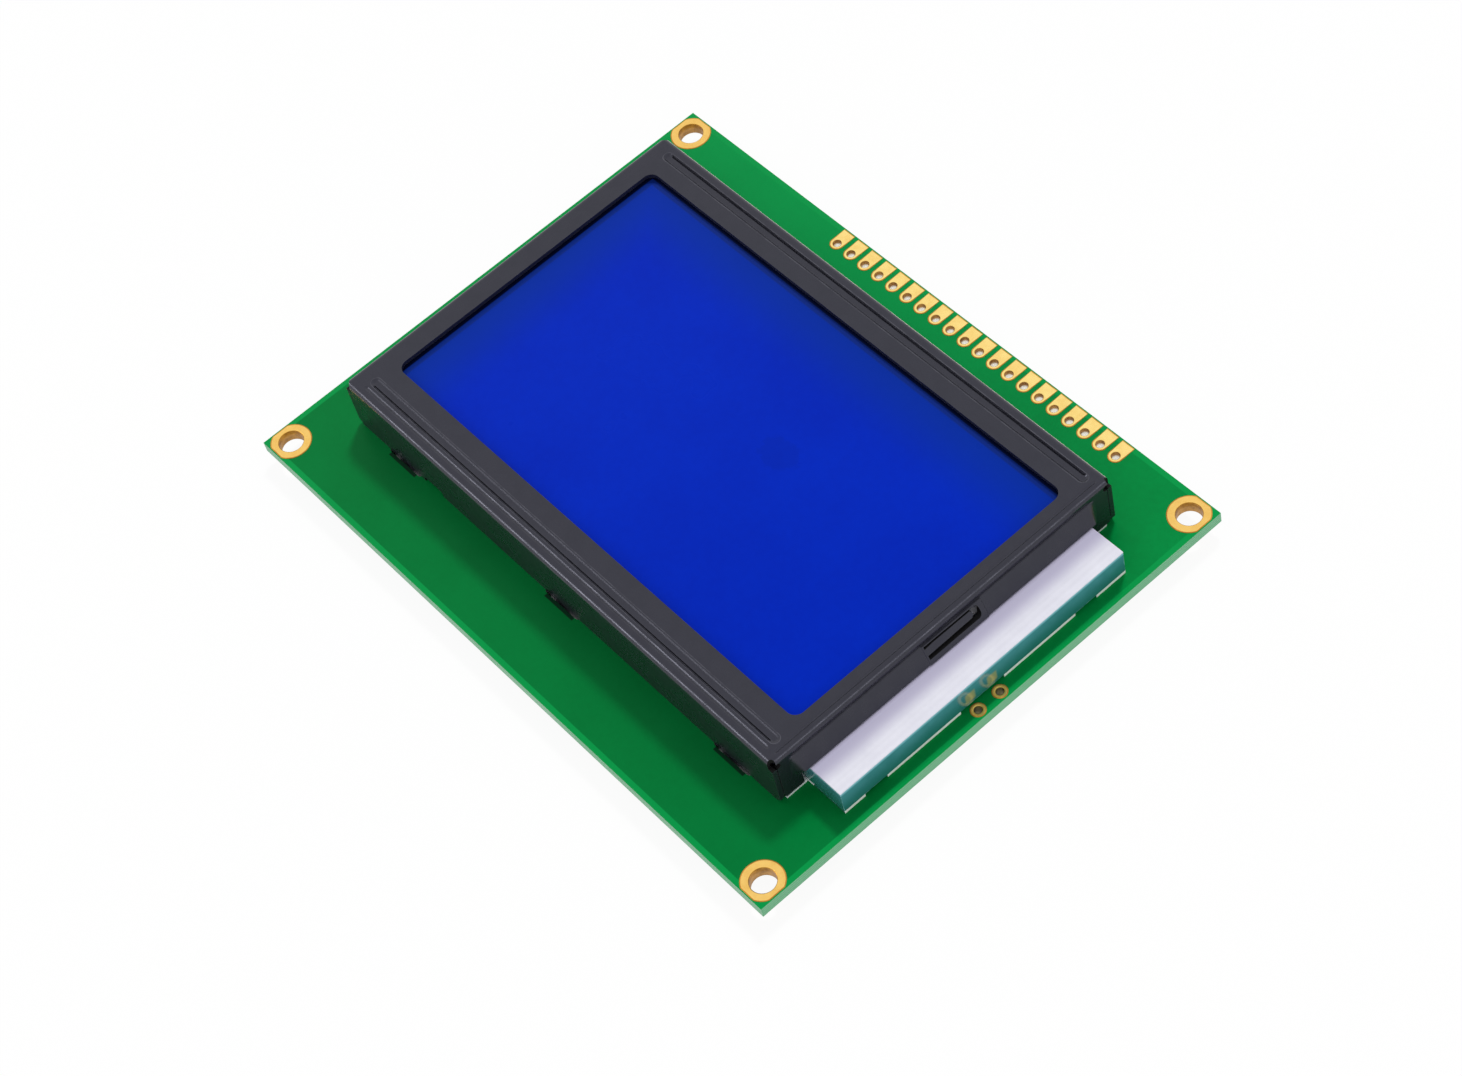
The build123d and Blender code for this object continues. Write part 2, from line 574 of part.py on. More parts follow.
# Light guide, with a pocket over each lamp
LAMP_PLACES = [
    (LAMP_ROW_X, GUIDE_CENTRE_Y + (number - (LAMP_COUNT - 1) / 2) * LAMP_PITCH)
    for number in range(LAMP_COUNT)
]
with BuildPart() as light_guide:
    with BuildSketch(above_board(GUIDE_LOW)):
        with Locations((GUIDE_START_X, GUIDE_CENTRE_Y)):
            Rectangle(GUIDE_END_X - GUIDE_START_X, GUIDE_WIDTH, align=(Align.MIN, Align.CENTER))
    extrude(amount=GUIDE_THICKNESS)
    with BuildSketch(above_board(GUIDE_LOW)):
        with Locations(*LAMP_PLACES):
            Rectangle(LAMP_WIDTH + 2 * LAMP_POCKET_CLEARANCE, LAMP_LENGTH + 2 * LAMP_POCKET_CLEARANCE)
    extrude(amount=LAMP_HEIGHT + LAMP_POCKET_CLEARANCE, mode=Mode.SUBTRACT)
save(light_guide.part, "light_guide")

# Films
save(
    slab_between(
        0,
        GUIDE_LOW,
        GUIDE_START_X,
        LAMP_STRIP_START - FILM_JOINT,
        GUIDE_WIDTH,
        GUIDE_CENTRE_Y,
    ),
    "reflector_sheet",
)
for name, level in (("diffuser_sheet", 0), ("prism_sheet", 1)):
    sheet = slab_between(
        GUIDE_TOP + level * FILM_THICKNESS,
        FILM_THICKNESS,
        GUIDE_START_X,
        FILM_END_X,
        GUIDE_WIDTH,
        GUIDE_CENTRE_Y,
    )
    save(sheet, name)
save(
    slab_between(
        GUIDE_TOP,
        FILM_THICKNESS,
        FILM_END_X + FILM_JOINT,
        GUIDE_END_X,
        GUIDE_WIDTH,
        GUIDE_CENTRE_Y,
    ),
    "cover_film",
)

# Lamp strip: a thin white board with notches in its outer edge
with BuildPart() as lamp_strip_board:
    with BuildSketch(TOP):
        with Locations((LAMP_STRIP_START, GUIDE_CENTRE_Y)):
            Rectangle(LAMP_STRIP_WIDTH, GUIDE_WIDTH, align=(Align.MIN, Align.CENTER))
        with Locations((GUIDE_END_X, LAMP_CENTRE_Y)):
            Rectangle(2 * LAMP_NOTCH_DEPTH, MIDDLE_NOTCH_WIDTH, mode=Mode.SUBTRACT)
        with Locations(
            (GUIDE_END_X, LAMP_CENTRE_Y - SIDE_NOTCH_SPACING / 2),
            (GUIDE_END_X, LAMP_CENTRE_Y + SIDE_NOTCH_SPACING / 2),
        ):
            Rectangle(2 * LAMP_NOTCH_DEPTH, SIDE_NOTCH_WIDTH, mode=Mode.SUBTRACT)
    extrude(amount=LAMP_STRIP_THICKNESS)
save(lamp_strip_board.part, "lamp_strip_board")

with BuildPart() as lamps:
    with BuildSketch(above_board(LAMP_STRIP_THICKNESS)):
        with Locations(*LAMP_PLACES):
            Rectangle(LAMP_WIDTH, LAMP_LENGTH)
    extrude(amount=LAMP_HEIGHT)
save(lamps.part, "lamps")

# Epoxy covers over the driver chips: low domes with a flat crown
for number, (x, y) in enumerate(COVER_PLACES, start=1):
    with BuildPart() as chip_cover:
        with BuildSketch(Plane.XZ):
            with BuildLine():
                Line((0, 0), (COVER_DIAMETER / 2, 0))
                TangentArc(
                    (COVER_FLAT_DIAMETER / 2, -COVER_HEIGHT),
                    (COVER_DIAMETER / 2, 0),
                    tangent=(1, 0),
                )
                Line((COVER_FLAT_DIAMETER / 2, -COVER_HEIGHT), (0, -COVER_HEIGHT))
                Line((0, -COVER_HEIGHT), (0, 0))
            make_face()
        revolve(axis=Axis.Z)
    save(chip_cover.part.moved(Location((x, y, 0))), f"chip_cover_{number}")

# Small chips on the back, each group in one row
with BuildPart() as resistors:
    with BuildSketch(BACK):
        with Locations((RESISTOR_CENTRE_X, RESISTOR_CENTRE_Y)):
            with GridLocations(RESISTOR_PITCH, 0, RESISTOR_COUNT, 1):
                Rectangle(CHIP_WIDTH, CHIP_LENGTH)
    extrude(amount=-RESISTOR_HEIGHT)
save(resistors.part, "resistors")

with BuildPart() as capacitors:
    with BuildSketch(BACK):
        with Locations((CAPACITOR_CENTRE_X, CAPACITOR_CENTRE_Y)):
            with GridLocations(CAPACITOR_PITCH, CAPACITOR_PITCH, CAPACITOR_COLUMNS, CAPACITOR_ROWS):
                Rectangle(CHIP_LENGTH, CHIP_WIDTH)
    extrude(amount=-CAPACITOR_HEIGHT)
save(capacitors.part, "capacitors")

# Voltage converter: a moulded body on gull-wing leads
with BuildPart() as converter_chip:
    with BuildSketch(Plane.XY.offset(-CONVERTER_STAND_OFF)):
        with Locations((CONVERTER_CENTRE_X, CONVERTER_CENTRE_Y)):
            Rectangle(CONVERTER_LENGTH, CONVERTER_WIDTH)
    extrude(amount=-CONVERTER_HEIGHT)
    chamfer(converter_chip.faces().sort_by(Axis.Z)[0].edges(), CONVERTER_CHAMFER)
save(converter_chip.part, "converter_chip")

LEAD_LEVEL = CONVERTER_STAND_OFF + CONVERTER_HEIGHT / 2
with BuildPart() as converter_leads:
    for side in (-1, 1):
        body_y = CONVERTER_CENTRE_Y + side * CONVERTER_WIDTH / 2
        knee_y = body_y + side * LEAD_KNEE
        toe_y = body_y + side * LEAD_REACH
        for number in range(LEADS_PER_SIDE):
            lead_x = CONVERTER_CENTRE_X + (number - (LEADS_PER_SIDE - 1) / 2) * LEAD_PITCH
            with BuildSketch(Plane.YZ.offset(lead_x - LEAD_WIDTH / 2)):
                with BuildLine():
                    Polyline(
                        (body_y, -LEAD_LEVEL),
                        (knee_y, -LEAD_LEVEL),
                        (knee_y, -LEAD_THICKNESS),
                        (toe_y, -LEAD_THICKNESS),
                        (toe_y, 0),
                        (knee_y - side * LEAD_THICKNESS, 0),
                        (knee_y - side * LEAD_THICKNESS, LEAD_THICKNESS - LEAD_LEVEL),
                        (body_y, LEAD_THICKNESS - LEAD_LEVEL),
                        close=True,
                    )
                make_face()
            extrude(amount=LEAD_WIDTH)
save(converter_leads.part, "converter_leads")
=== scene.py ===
import logging
import math
from dataclasses import dataclass, field, replace
from enum import Enum, IntEnum
from typing import Callable, Sequence

import bmesh
import bpy
from mathutils import Euler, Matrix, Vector


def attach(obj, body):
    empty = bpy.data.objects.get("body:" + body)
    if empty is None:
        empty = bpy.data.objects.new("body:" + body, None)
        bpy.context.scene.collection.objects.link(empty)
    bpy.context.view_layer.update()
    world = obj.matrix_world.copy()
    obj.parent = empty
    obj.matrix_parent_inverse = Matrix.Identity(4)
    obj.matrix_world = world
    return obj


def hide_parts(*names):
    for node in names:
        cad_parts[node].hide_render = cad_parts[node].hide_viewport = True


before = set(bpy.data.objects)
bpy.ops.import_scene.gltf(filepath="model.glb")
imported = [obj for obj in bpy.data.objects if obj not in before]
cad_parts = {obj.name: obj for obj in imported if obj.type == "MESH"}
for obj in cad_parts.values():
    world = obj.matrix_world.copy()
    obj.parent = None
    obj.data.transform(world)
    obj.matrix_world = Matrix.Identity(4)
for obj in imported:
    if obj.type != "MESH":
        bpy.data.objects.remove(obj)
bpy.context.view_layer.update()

LOG = logging.getLogger("display_module")
MM = 0.001
SQUARE = ((-1, -1), (1, -1), (1, 1), (-1, 1))

Colour = tuple[float, float, float]
Point = tuple[float, float, float]
Place = tuple[float, float]


class Axis(Enum):
    """The way a straight solid runs."""

    X = "x"
    Y = "y"
    Z = "z"

    def point(self, level: float, first: float, second: float) -> Point:
        """A point of a section at a level: YZ for X, XZ for Y and XY for Z."""
        order = {
            Axis.X: (level, first, second),
            Axis.Y: (first, level, second),
            Axis.Z: (first, second, level),
        }
        return order[self]


@dataclass(frozen=True)
class Layout:
    """Sizes and places in millimetres that pieces and finishes share."""

    board_half: Place = (46.5, 35.0)
    board: float = 1.6
    left: float = -39.85
    right: float = 38.35
    front: float = -24.75
    back: float = 26.45
    top: float = 9.6
    window: tuple[float, float, float, float] = (-36.55, 35.85, -18.95, 21.55)
    bead_xs: Place = (-36.7, 36.0)
    bead_ys: Place = (-22.1, 24.45)
    tab_xs: tuple[float, float, float] = (-30.65, -0.35, 29.95)
    guide_end: float = 44.35
    lamp_ys: Place = (1.55, -1.75)


SITE = Layout()


def from_display(red: float, green: float, blue: float) -> Colour:
    """Turns a colour as a screen shows it into linear light.

    Args:
        red: 0 to 255.
        green: 0 to 255.
        blue: 0 to 255.

    Returns:
        The three linear values, 0 to 1.
    """
    values = []
    for channel in (red, green, blue):
        share = channel / 255.0
        values.append(share / 12.92 if share <= 0.04045 else ((share + 0.055) / 1.055) ** 2.4)
    return (values[0], values[1], values[2])


def ease(value: float) -> float:
    """A smooth step from 0 to 1 as value goes from 0 to 1."""
    share = min(max(value, 0.0), 1.0)
    return share * share * (3.0 - 2.0 * share)


def spread(start: float, end: float, step: float) -> list[float]:
    """Evenly spaced places from start to end.

    Args:
        start: First place.
        end: Last place.
        step: Largest distance between neighbours.

    Returns:
        The places, both ends included.
    """
    count = max(1, math.ceil(abs(end - start) / step - 1e-9))
    return [start + (end - start) * index / count for index in range(count + 1)]


def merged(*groups: Sequence[float], nearest: float = 0.03) -> list[float]:
    """Sorts places together and drops those that nearly coincide.

    Args:
        groups: Lists of places; an earlier list wins over a later one.
        nearest: Places closer than this to a kept one are dropped.

    Returns:
        The sorted places.
    """
    kept: list[float] = []
    for group in groups:
        for place in group:
            if all(abs(place - other) > nearest for other in kept):
                kept.append(place)
    return sorted(kept)


def full_turn(count: int) -> list[float]:
    """Evenly spaced angles of a full turn, in radians."""
    return [2 * math.pi * step / count for step in range(count)]


def arc(x: float, y: float, radius: float, turns: Sequence[float]) -> list[Place]:
    """Points round a centre.

    Args:
        x: The centre's first coordinate.
        y: The centre's second coordinate.
        radius: Their distance from it.
        turns: Their angles, in radians.

    Returns:
        The points, in the angles' order.
    """
    return [(x + radius * math.cos(turn), y + radius * math.sin(turn)) for turn in turns]


class Graph:
    """Short calls that place and link the nodes of one tree."""

    def __init__(self, tree: bpy.types.NodeTree) -> None:
        """Starts on a tree."""
        self.tree = tree
        self.count = 0

    def node(self, kind: str, **settings: object) -> bpy.types.Node:
        """Adds a node.

        Args:
            kind: The node's type.
            settings: Properties to set on it.

        Returns:
            The new node.
        """
        node = self.tree.nodes.new(kind)
        for name, value in settings.items():
            setattr(node, name, value)
        node.location = (190 * (self.count // 6), -260 * (self.count % 6))
        self.count += 1
        return node

    def feed(self, socket: bpy.types.NodeSocket, source: object) -> None:
        """Links a socket to another one, or sets its value.

        Args:
            socket: The input.
            source: An output socket, a number or a colour; None leaves it as it is.
        """
        if source is None:
            return
        if isinstance(source, bpy.types.NodeSocket):
            self.tree.links.new(source, socket)
        elif isinstance(source, tuple) and socket.type == "RGBA" and len(source) == 3:
            socket.default_value = (*source, 1.0)
        else:
            socket.default_value = source

    def sum(
        self, operation: str, first: object, second: object = None, third: object = None,
    ) -> bpy.types.NodeSocket:
        """A Math node.

        Args:
            operation: Its operation.
            first: First value or socket.
            second: Second value or socket.
            third: Third value or socket.

        Returns:
            Its output.
        """
        node = self.node("ShaderNodeMath", operation=operation)
        for socket, source in zip(node.inputs, (first, second, third)):
            self.feed(socket, source)
        return node.outputs[0]

    def chain(self, operation: str, values: Sequence[object]) -> object:
        """Combines values with one operation, from the first on."""
        result = values[0]
        for value in values[1:]:
            result = self.sum(operation, result, value)
        return result

    def times(self, *values: object) -> object:
        """The product of the values."""
        return self.chain("MULTIPLY", values)

    def least(self, *values: object) -> object:
        """The smallest of the values."""
        return self.chain("MINIMUM", values)

    def most(self, *values: object) -> object:
        """The largest of the values."""
        return self.chain("MAXIMUM", values)

    def less(self, value: object, taken: object) -> object:
        """One value less another."""
        return self.sum("SUBTRACT", value, taken)

    def size(self, value: object) -> object:
        """A value without its sign."""
        return self.sum("ABSOLUTE", value)

    def distance(self, along: object, across: object) -> object:
        """The length of a step along two axes."""
        squares = self.sum("ADD", self.times(along, along), self.times(across, across))
        return self.sum("SQRT", squares)

    def span(
        self, value: object, low: object, high: object, start: float = 0.0, end: float = 1.0,
    ) -> bpy.types.NodeSocket:
        """Maps a value from one range to another with a smooth step.

        Args:
            value: The socket to map.
            low: Value that gives start.
            high: Value that gives end.
            start: Output at low.
            end: Output at high.

        Returns:
            The mapped value.
        """
        node = self.node("ShaderNodeMapRange", interpolation_type="SMOOTHSTEP")
        for socket, source in zip(node.inputs, (value, low, high, start, end)):
            self.feed(socket, source)
        return node.outputs[0]

    def mix(self, share: object, first: object, second: object) -> bpy.types.NodeSocket:
        """Lays one colour over another.

        Args:
            share: How much of the second colour, 0 to 1.
            first: Colour underneath.
            second: Colour on top.

        Returns:
            The mixed colour.
        """
        node = self.node("ShaderNodeMix", data_type="RGBA", blend_type="MIX")
        self.feed(node.inputs[0], share)
        self.feed(node.inputs[6], first)
        self.feed(node.inputs[7], second)
        return node.outputs[2]

    def noise(
        self, scale: object, detail: float = 3.0, roughness: float = 0.55,
    ) -> bpy.types.NodeSocket:
        """Smooth noise over the object's own coordinates.

        Args:
            scale: Features per metre.
            detail: How many finer layers.
            roughness: Strength of the finer layers.

        Returns:
            A value around 0.5.
        """
        node = self.node("ShaderNodeTexNoise")
        self.feed(node.inputs["Vector"], self.place())
        self.feed(node.inputs["Scale"], scale)
        self.feed(node.inputs["Detail"], detail)
        self.feed(node.inputs["Roughness"], roughness)
        return node.outputs[0]

    def seen(self) -> object:
        """1 for the eye, for gloss and through clear pieces, and 0 for all other light."""
        path = self.node("ShaderNodeLightPath")
        kinds = ("Camera", "Glossy", "Transmission")
        return self.most(*(path.outputs[f"Is {kind} Ray"] for kind in kinds))

    def place(self) -> bpy.types.NodeSocket:
        """The object's own coordinates, in metres."""
        return self.node("ShaderNodeTexCoord").outputs["Object"]

    def axes(self, vector: object = None) -> tuple[bpy.types.NodeSocket, ...]:
        """The three parts of a vector, or of the object's coordinates."""
        node = self.node("ShaderNodeSeparateXYZ")
        self.feed(node.inputs[0], vector or self.place())
        return tuple(node.outputs)

    def facing(self) -> tuple[bpy.types.NodeSocket, ...]:
        """The three parts of the surface's own direction."""
        node = self.node("ShaderNodeNewGeometry")
        return self.axes(node.outputs["True Normal"])

    def within(
        self, value: object, middle: float, reach: float, soft: float,
    ) -> bpy.types.NodeSocket:
        """A soft band that is 1 near a place and 0 away from it.

        Args:
            value: Coordinate in metres.
            middle: The band's middle.
            reach: Half of its width.
            soft: Width of its soft edge.

        Returns:
            The band as a mask.
        """
        away = self.size(self.less(value, middle))
        return self.span(away, reach - soft / 2, reach + soft / 2, 1.0, 0.0)

    def effect(self, name: str, **values: object) -> bpy.types.Node:
        """Places a shared effect.

        Args:
            name: Its name.
            values: Its inputs, with spaces written as underscores.

        Returns:
            The group node.
        """
        node = self.node("ShaderNodeGroup", node_tree=SharedEffects.get(name))
        for key, value in values.items():
            self.feed(node.inputs[key.replace("_", " ")], value)
        return node


class SharedEffects:
    """Effects that several finishes use, each a node group built once."""

    @staticmethod
    def get(name: str) -> bpy.types.NodeTree:
        """Returns the named effect, and builds it the first time."""
        if name not in bpy.data.node_groups:
            getattr(SharedEffects, name)(name)
        return bpy.data.node_groups[name]

    @staticmethod
    def start(
        name: str, inputs: dict[str, float], outputs: Sequence[str],
    ) -> tuple[Graph, bpy.types.NodeOutputs, bpy.types.NodeInputs]:
        """Starts a group with its sockets.

        Args:
            name: The group's name.
            inputs: Input names with their usual values.
            outputs: Output names.

        Returns:
            The graph, what the group is given and what it gives.
        """
        tree = bpy.data.node_groups.new(name, "ShaderNodeTree")
        kind = "NodeSocketFloat"
        for label, usual in inputs.items():
            socket = tree.interface.new_socket(name=label, in_out="INPUT", socket_type=kind)
            socket.default_value = usual
        for label in outputs:
            tree.interface.new_socket(name=label, in_out="OUTPUT", socket_type=kind)
        graph = Graph(tree)
        given = graph.node("NodeGroupInput").outputs
        return graph, given, graph.node("NodeGroupOutput").inputs

    @staticmethod
    def surface_grain(name: str) -> None:
        """Fine unevenness of a moulded, pressed or coated surface."""
        inputs = {"Scale": 2500.0, "Broad Scale": 160.0}
        graph, given, result = SharedEffects.start(name, inputs, ("Fine", "Broad", "Height"))
        fine = graph.noise(given["Scale"], 4.0, 0.6)
        broad = graph.noise(given["Broad Scale"], 3.0, 0.5)
        graph.feed(result["Fine"], graph.span(fine, 0.32, 0.68))
        graph.feed(result["Broad"], graph.span(broad, 0.33, 0.67))
        mixed = graph.sum("MULTIPLY_ADD", broad, 0.6, graph.times(fine, 0.4))
        graph.feed(result["Height"], mixed)

    @staticmethod
    def edge_wear(name: str) -> None:
        """A broken line of wear along outer edges."""
        inputs = {"Width": 0.00015, "Amount": 0.5, "Break Up": 900.0}
        graph, given, result = SharedEffects.start(name, inputs, ("Mask",))
        rounded = graph.node("ShaderNodeBevel", samples=4)
        graph.feed(rounded.inputs["Radius"], given["Width"])
        geometry = graph.node("ShaderNodeNewGeometry")
        match = graph.node("ShaderNodeVectorMath", operation="DOT_PRODUCT")
        graph.feed(match.inputs[0], rounded.outputs[0])
        graph.feed(match.inputs[1], geometry.outputs["Normal"])
        edge = graph.span(match.outputs["Value"], 0.995, 0.86)
        gaps = graph.span(graph.noise(given["Break Up"], 3.0, 0.6), 0.38, 0.62)
        graph.feed(result["Mask"], graph.times(edge, gaps, given["Amount"]))

    @staticmethod
    def dust(name: str) -> None:
        """Scattered specks of dust that lie on surfaces."""
        inputs = {"Scale": 900.0, "Size": 0.12, "Amount": 0.5}
        graph, given, result = SharedEffects.start(name, inputs, ("Mask",))
        cells = graph.node("ShaderNodeTexVoronoi", feature="F1")
        graph.feed(cells.inputs["Vector"], graph.place())
        graph.feed(cells.inputs["Scale"], given["Scale"])
        chosen = graph.span(graph.axes(cells.outputs["Color"])[0], 0.93, 0.95)
        core = graph.times(given["Size"], 0.6)
        speck = graph.span(cells.outputs["Distance"], core, given["Size"], 1.0, 0.0)
        graph.feed(result["Mask"], graph.times(speck, chosen, given["Amount"]))


def empty_material(name: str) -> tuple[bpy.types.Material, Graph]:
    """Makes a material without nodes, and returns it with its graph."""
    made = bpy.data.materials.new(name)
    made.use_nodes = True
    made.node_tree.nodes.clear()
    return made, Graph(made.node_tree)


@dataclass(frozen=True)
class Finish:
    """A surface finish: two near colours, grain, worn edges and dust."""

    name: str
    colour: Colour
    shade: Colour
    roughness: float = 0.5
    roughness_swing: float = 0.08
    metallic: float = 0.0
    specular: float = 0.5
    tint: Colour = (1.0, 1.0, 1.0)
    coat: float = 0.0
    coat_roughness: float = 0.1
    grain_scale: float = 2500.0
    broad_scale: float = 160.0
    grain_height: float = 0.004
    grain_strength: float = 0.25
    wear_colour: Colour = (0.5, 0.5, 0.5)
    wear_width: float = 0.15
    wear: float = 0.0
    dust_colour: Colour = (0.6, 0.6, 0.58)
    dust: float = 0.0
    dust_scale: float = 700.0
    dust_size: float = 0.1

    def paint(self, graph: Graph, colour: object) -> object:
        """Adds what is particular to this finish over its mottled colour."""
        return colour

    def set_constants(self, shader: bpy.types.Node) -> None:
        """Sets the values that are the same all over the surface.

        Args:
            shader: The material's Principled BSDF.
        """
        shader.inputs["Metallic"].default_value = self.metallic
        shader.inputs["Specular IOR Level"].default_value = self.specular
        shader.inputs["Specular Tint"].default_value = (*self.tint, 1.0)
        shader.inputs["Coat Weight"].default_value = self.coat
        shader.inputs["Coat Roughness"].default_value = self.coat_roughness

    def material(self) -> bpy.types.Material:
        """Builds the material once and returns it after that."""
        label = f"{self.name}_finish"
        if label in bpy.data.materials:
            return bpy.data.materials[label]
        made, graph = empty_material(label)
        shader = graph.node("ShaderNodeBsdfPrincipled")
        output = graph.node("ShaderNodeOutputMaterial")
        graph.feed(output.inputs["Surface"], shader.outputs[0])
        grain = graph.effect(
            "surface_grain", Scale=self.grain_scale, Broad_Scale=self.broad_scale,
        ).outputs
        blotch = graph.sum("MULTIPLY_ADD", grain["Fine"], 0.35, graph.times(grain["Broad"], 0.65))
        colour = self.paint(graph, graph.mix(blotch, self.colour, self.shade))
        lowest = self.roughness - self.roughness_swing / 2
        roughness = graph.sum("MULTIPLY_ADD", grain["Broad"], self.roughness_swing, lowest)
        if self.wear > 0:
            worn = graph.effect("edge_wear", Width=self.wear_width * MM, Amount=self.wear)
            colour = graph.mix(worn.outputs["Mask"], colour, self.wear_colour)
        if self.dust > 0:
            specks = graph.effect(
                "dust", Scale=self.dust_scale, Size=self.dust_size, Amount=self.dust,
            ).outputs["Mask"]
            colour = graph.mix(specks, colour, self.dust_colour)
            roughness = graph.sum("MULTIPLY_ADD", specks, 0.3, roughness)
        graph.feed(shader.inputs["Base Color"], colour)
        graph.feed(shader.inputs["Roughness"], roughness)
        self.set_constants(shader)
        bump = graph.node("ShaderNodeBump")
        graph.feed(bump.inputs["Strength"], self.grain_strength)
        graph.feed(bump.inputs["Distance"], self.grain_height * MM)
        graph.feed(bump.inputs["Height"], grain["Height"])
        graph.feed(shader.inputs["Normal"], bump.outputs[0])
        return made


@dataclass(frozen=True)
class BoardFinish(Finish):
    """Green solder resist over copper, with painted shade to the front and painted light to the
    back, and cut sides of laminate.
    """

    laminate: Colour = from_display(120, 176, 138)
    laminate_shade: Colour = from_display(84, 158, 112)
    fibre_scale: float = 900.0
    fibre_bend: float = 3.0
    bare: Colour = from_display(6, 144, 68)
    border: float = 0.7
    border_soft: float = 0.06
    border_share: float = 0.85
    track: Colour = from_display(10, 150, 72)
    track_pitch: float = 1.27
    track_lean: float = 0.55
    track_share: float = 0.75
    # Painted shade: the board darker towards the front, where the bezel shades it.
    painted_front_shade: Colour = from_display(0, 98, 42)
    painted_front_shade_ys: Place = (-35.0, 5.0)
    painted_front_shade_share: float = 0.6
    # Painted light: the board lighter towards the back left, where the key light falls.
    painted_back_light: Colour = from_display(0, 150, 72)
    painted_back_light_ys: Place = (5.0, 33.0)
    painted_back_light_xs: Place = (-10.0, 40.0)
    painted_back_light_shares: Place = (0.52, 0.06)
    # Painted shade: dark patches beside the tab slots stand for the slots' shaded mouths.
    painted_slot_shade: Colour = from_display(8, 12, 14)
    painted_slot_shade_ys: Place = (-25.12, 26.82)
    painted_slot_shade_half: Place = (2.55, 0.3)
    painted_slot_shade_share: float = 0.94

    def paint(self, graph: Graph, colour: object) -> object:
        """Painted shade at the front, painted light at the back, bare border, tracks, painted shade
        at the slot mouths and cut sides.
        """
        x, y, _ = graph.axes()
        _, _, up = graph.facing()
        # Painted shade towards the front, then painted light towards the back left.
        painted_front_shade = graph.span(y, self.painted_front_shade_ys[0] * MM, self.painted_front_shade_ys[1] * MM, self.painted_front_shade_share, 0.0)
        colour = graph.mix(painted_front_shade, colour, self.painted_front_shade)
        to_back = graph.span(y, self.painted_back_light_ys[0] * MM, self.painted_back_light_ys[1] * MM)
        to_left = graph.span(x, self.painted_back_light_xs[0] * MM, self.painted_back_light_xs[1] * MM, *self.painted_back_light_shares)
        colour = graph.mix(graph.times(to_back, to_left), colour, self.painted_back_light)
        colour = graph.mix(self.rim(graph, x, y), colour, self.bare)
        colour = graph.mix(self.tracks(graph, x, y, up), colour, self.track)
        # Painted shade at the tab slots' mouths.
        colour = graph.mix(self.painted_slot_shades(graph, x, y, up), colour, self.painted_slot_shade)
        fibres = graph.node("ShaderNodeTexWave", wave_type="BANDS", bands_direction="Z")
        graph.feed(fibres.inputs["Vector"], graph.place())
        graph.feed(fibres.inputs["Scale"], self.fibre_scale)
        graph.feed(fibres.inputs["Distortion"], self.fibre_bend)
        sides = graph.mix(fibres.outputs["Fac"], self.laminate, self.laminate_shade)
        return graph.mix(graph.span(graph.size(up), 0.4, 0.6), sides, colour)

    def rim(self, graph: Graph, x: object, y: object) -> object:
        """A mask of the border that has no copper under its resist."""
        half_x, half_y = SITE.board_half
        from_side = graph.less(half_x * MM, graph.size(x))
        from_end = graph.less(half_y * MM, graph.size(y))
        inside = graph.least(from_side, from_end)
        low, high = self.border - self.border_soft, self.border + self.border_soft
        return graph.span(inside, low * MM, high * MM, self.border_share, 0.0)

    def painted_slot_shades(self, graph: Graph, x: object, y: object, up: object) -> object:
        """A mask of painted shade beside the tab slots, on the display side, for the slots' dark
        mouths.
        """
        half_x, half_y = self.painted_slot_shade_half
        along = [graph.within(x, place * MM, half_x * MM, 0.1 * MM) for place in SITE.tab_xs]
        across = [graph.within(y, place * MM, half_y * MM, 0.06 * MM) for place in self.painted_slot_shade_ys]
        above = graph.span(up, 0.4, 0.6)
        return graph.times(graph.most(*across), graph.most(*along), above, self.painted_slot_shade_share)

    def tracks(self, graph: Graph, x: object, y: object, up: object) -> object:
        """Copper tracks that show faintly through the resist on the back.

        Args:
            graph: The material's graph.
            x: Place along the board.
            y: Place across the board.
            up: How far the surface faces the display side.

        Returns:
            A mask of the tracks.
        """
        def lines(value: object) -> object:
            """Evenly spaced lines along one coordinate."""
            phase = graph.sum("PINGPONG", value, self.track_pitch * MM / 2)
            return graph.span(phase, 0.19 * MM, 0.25 * MM, 1.0, 0.0)

        bend = graph.times(graph.most(graph.less(21.0 * MM, y), 0.0), self.track_lean)
        shifted = graph.sum("ADD", x, bend)
        zone_x = graph.within(shifted, 12.0 * MM, 21.0 * MM, 0.2 * MM)
        zone_y = graph.within(y, 22.5 * MM, 8.0 * MM, 0.3 * MM)
        fan = graph.times(lines(shifted), zone_x, zone_y)
        bus_x = graph.within(x, 0.0, 17.0 * MM, 0.1 * MM)
        bus_y = graph.within(y, -2.0 * MM, 5.4 * MM, 0.1 * MM)
        bus = graph.times(lines(y), bus_x, bus_y)
        below = graph.span(up, -0.6, -0.4, 1.0, 0.0)
        return graph.times(graph.most(fan, bus), below, self.track_share)


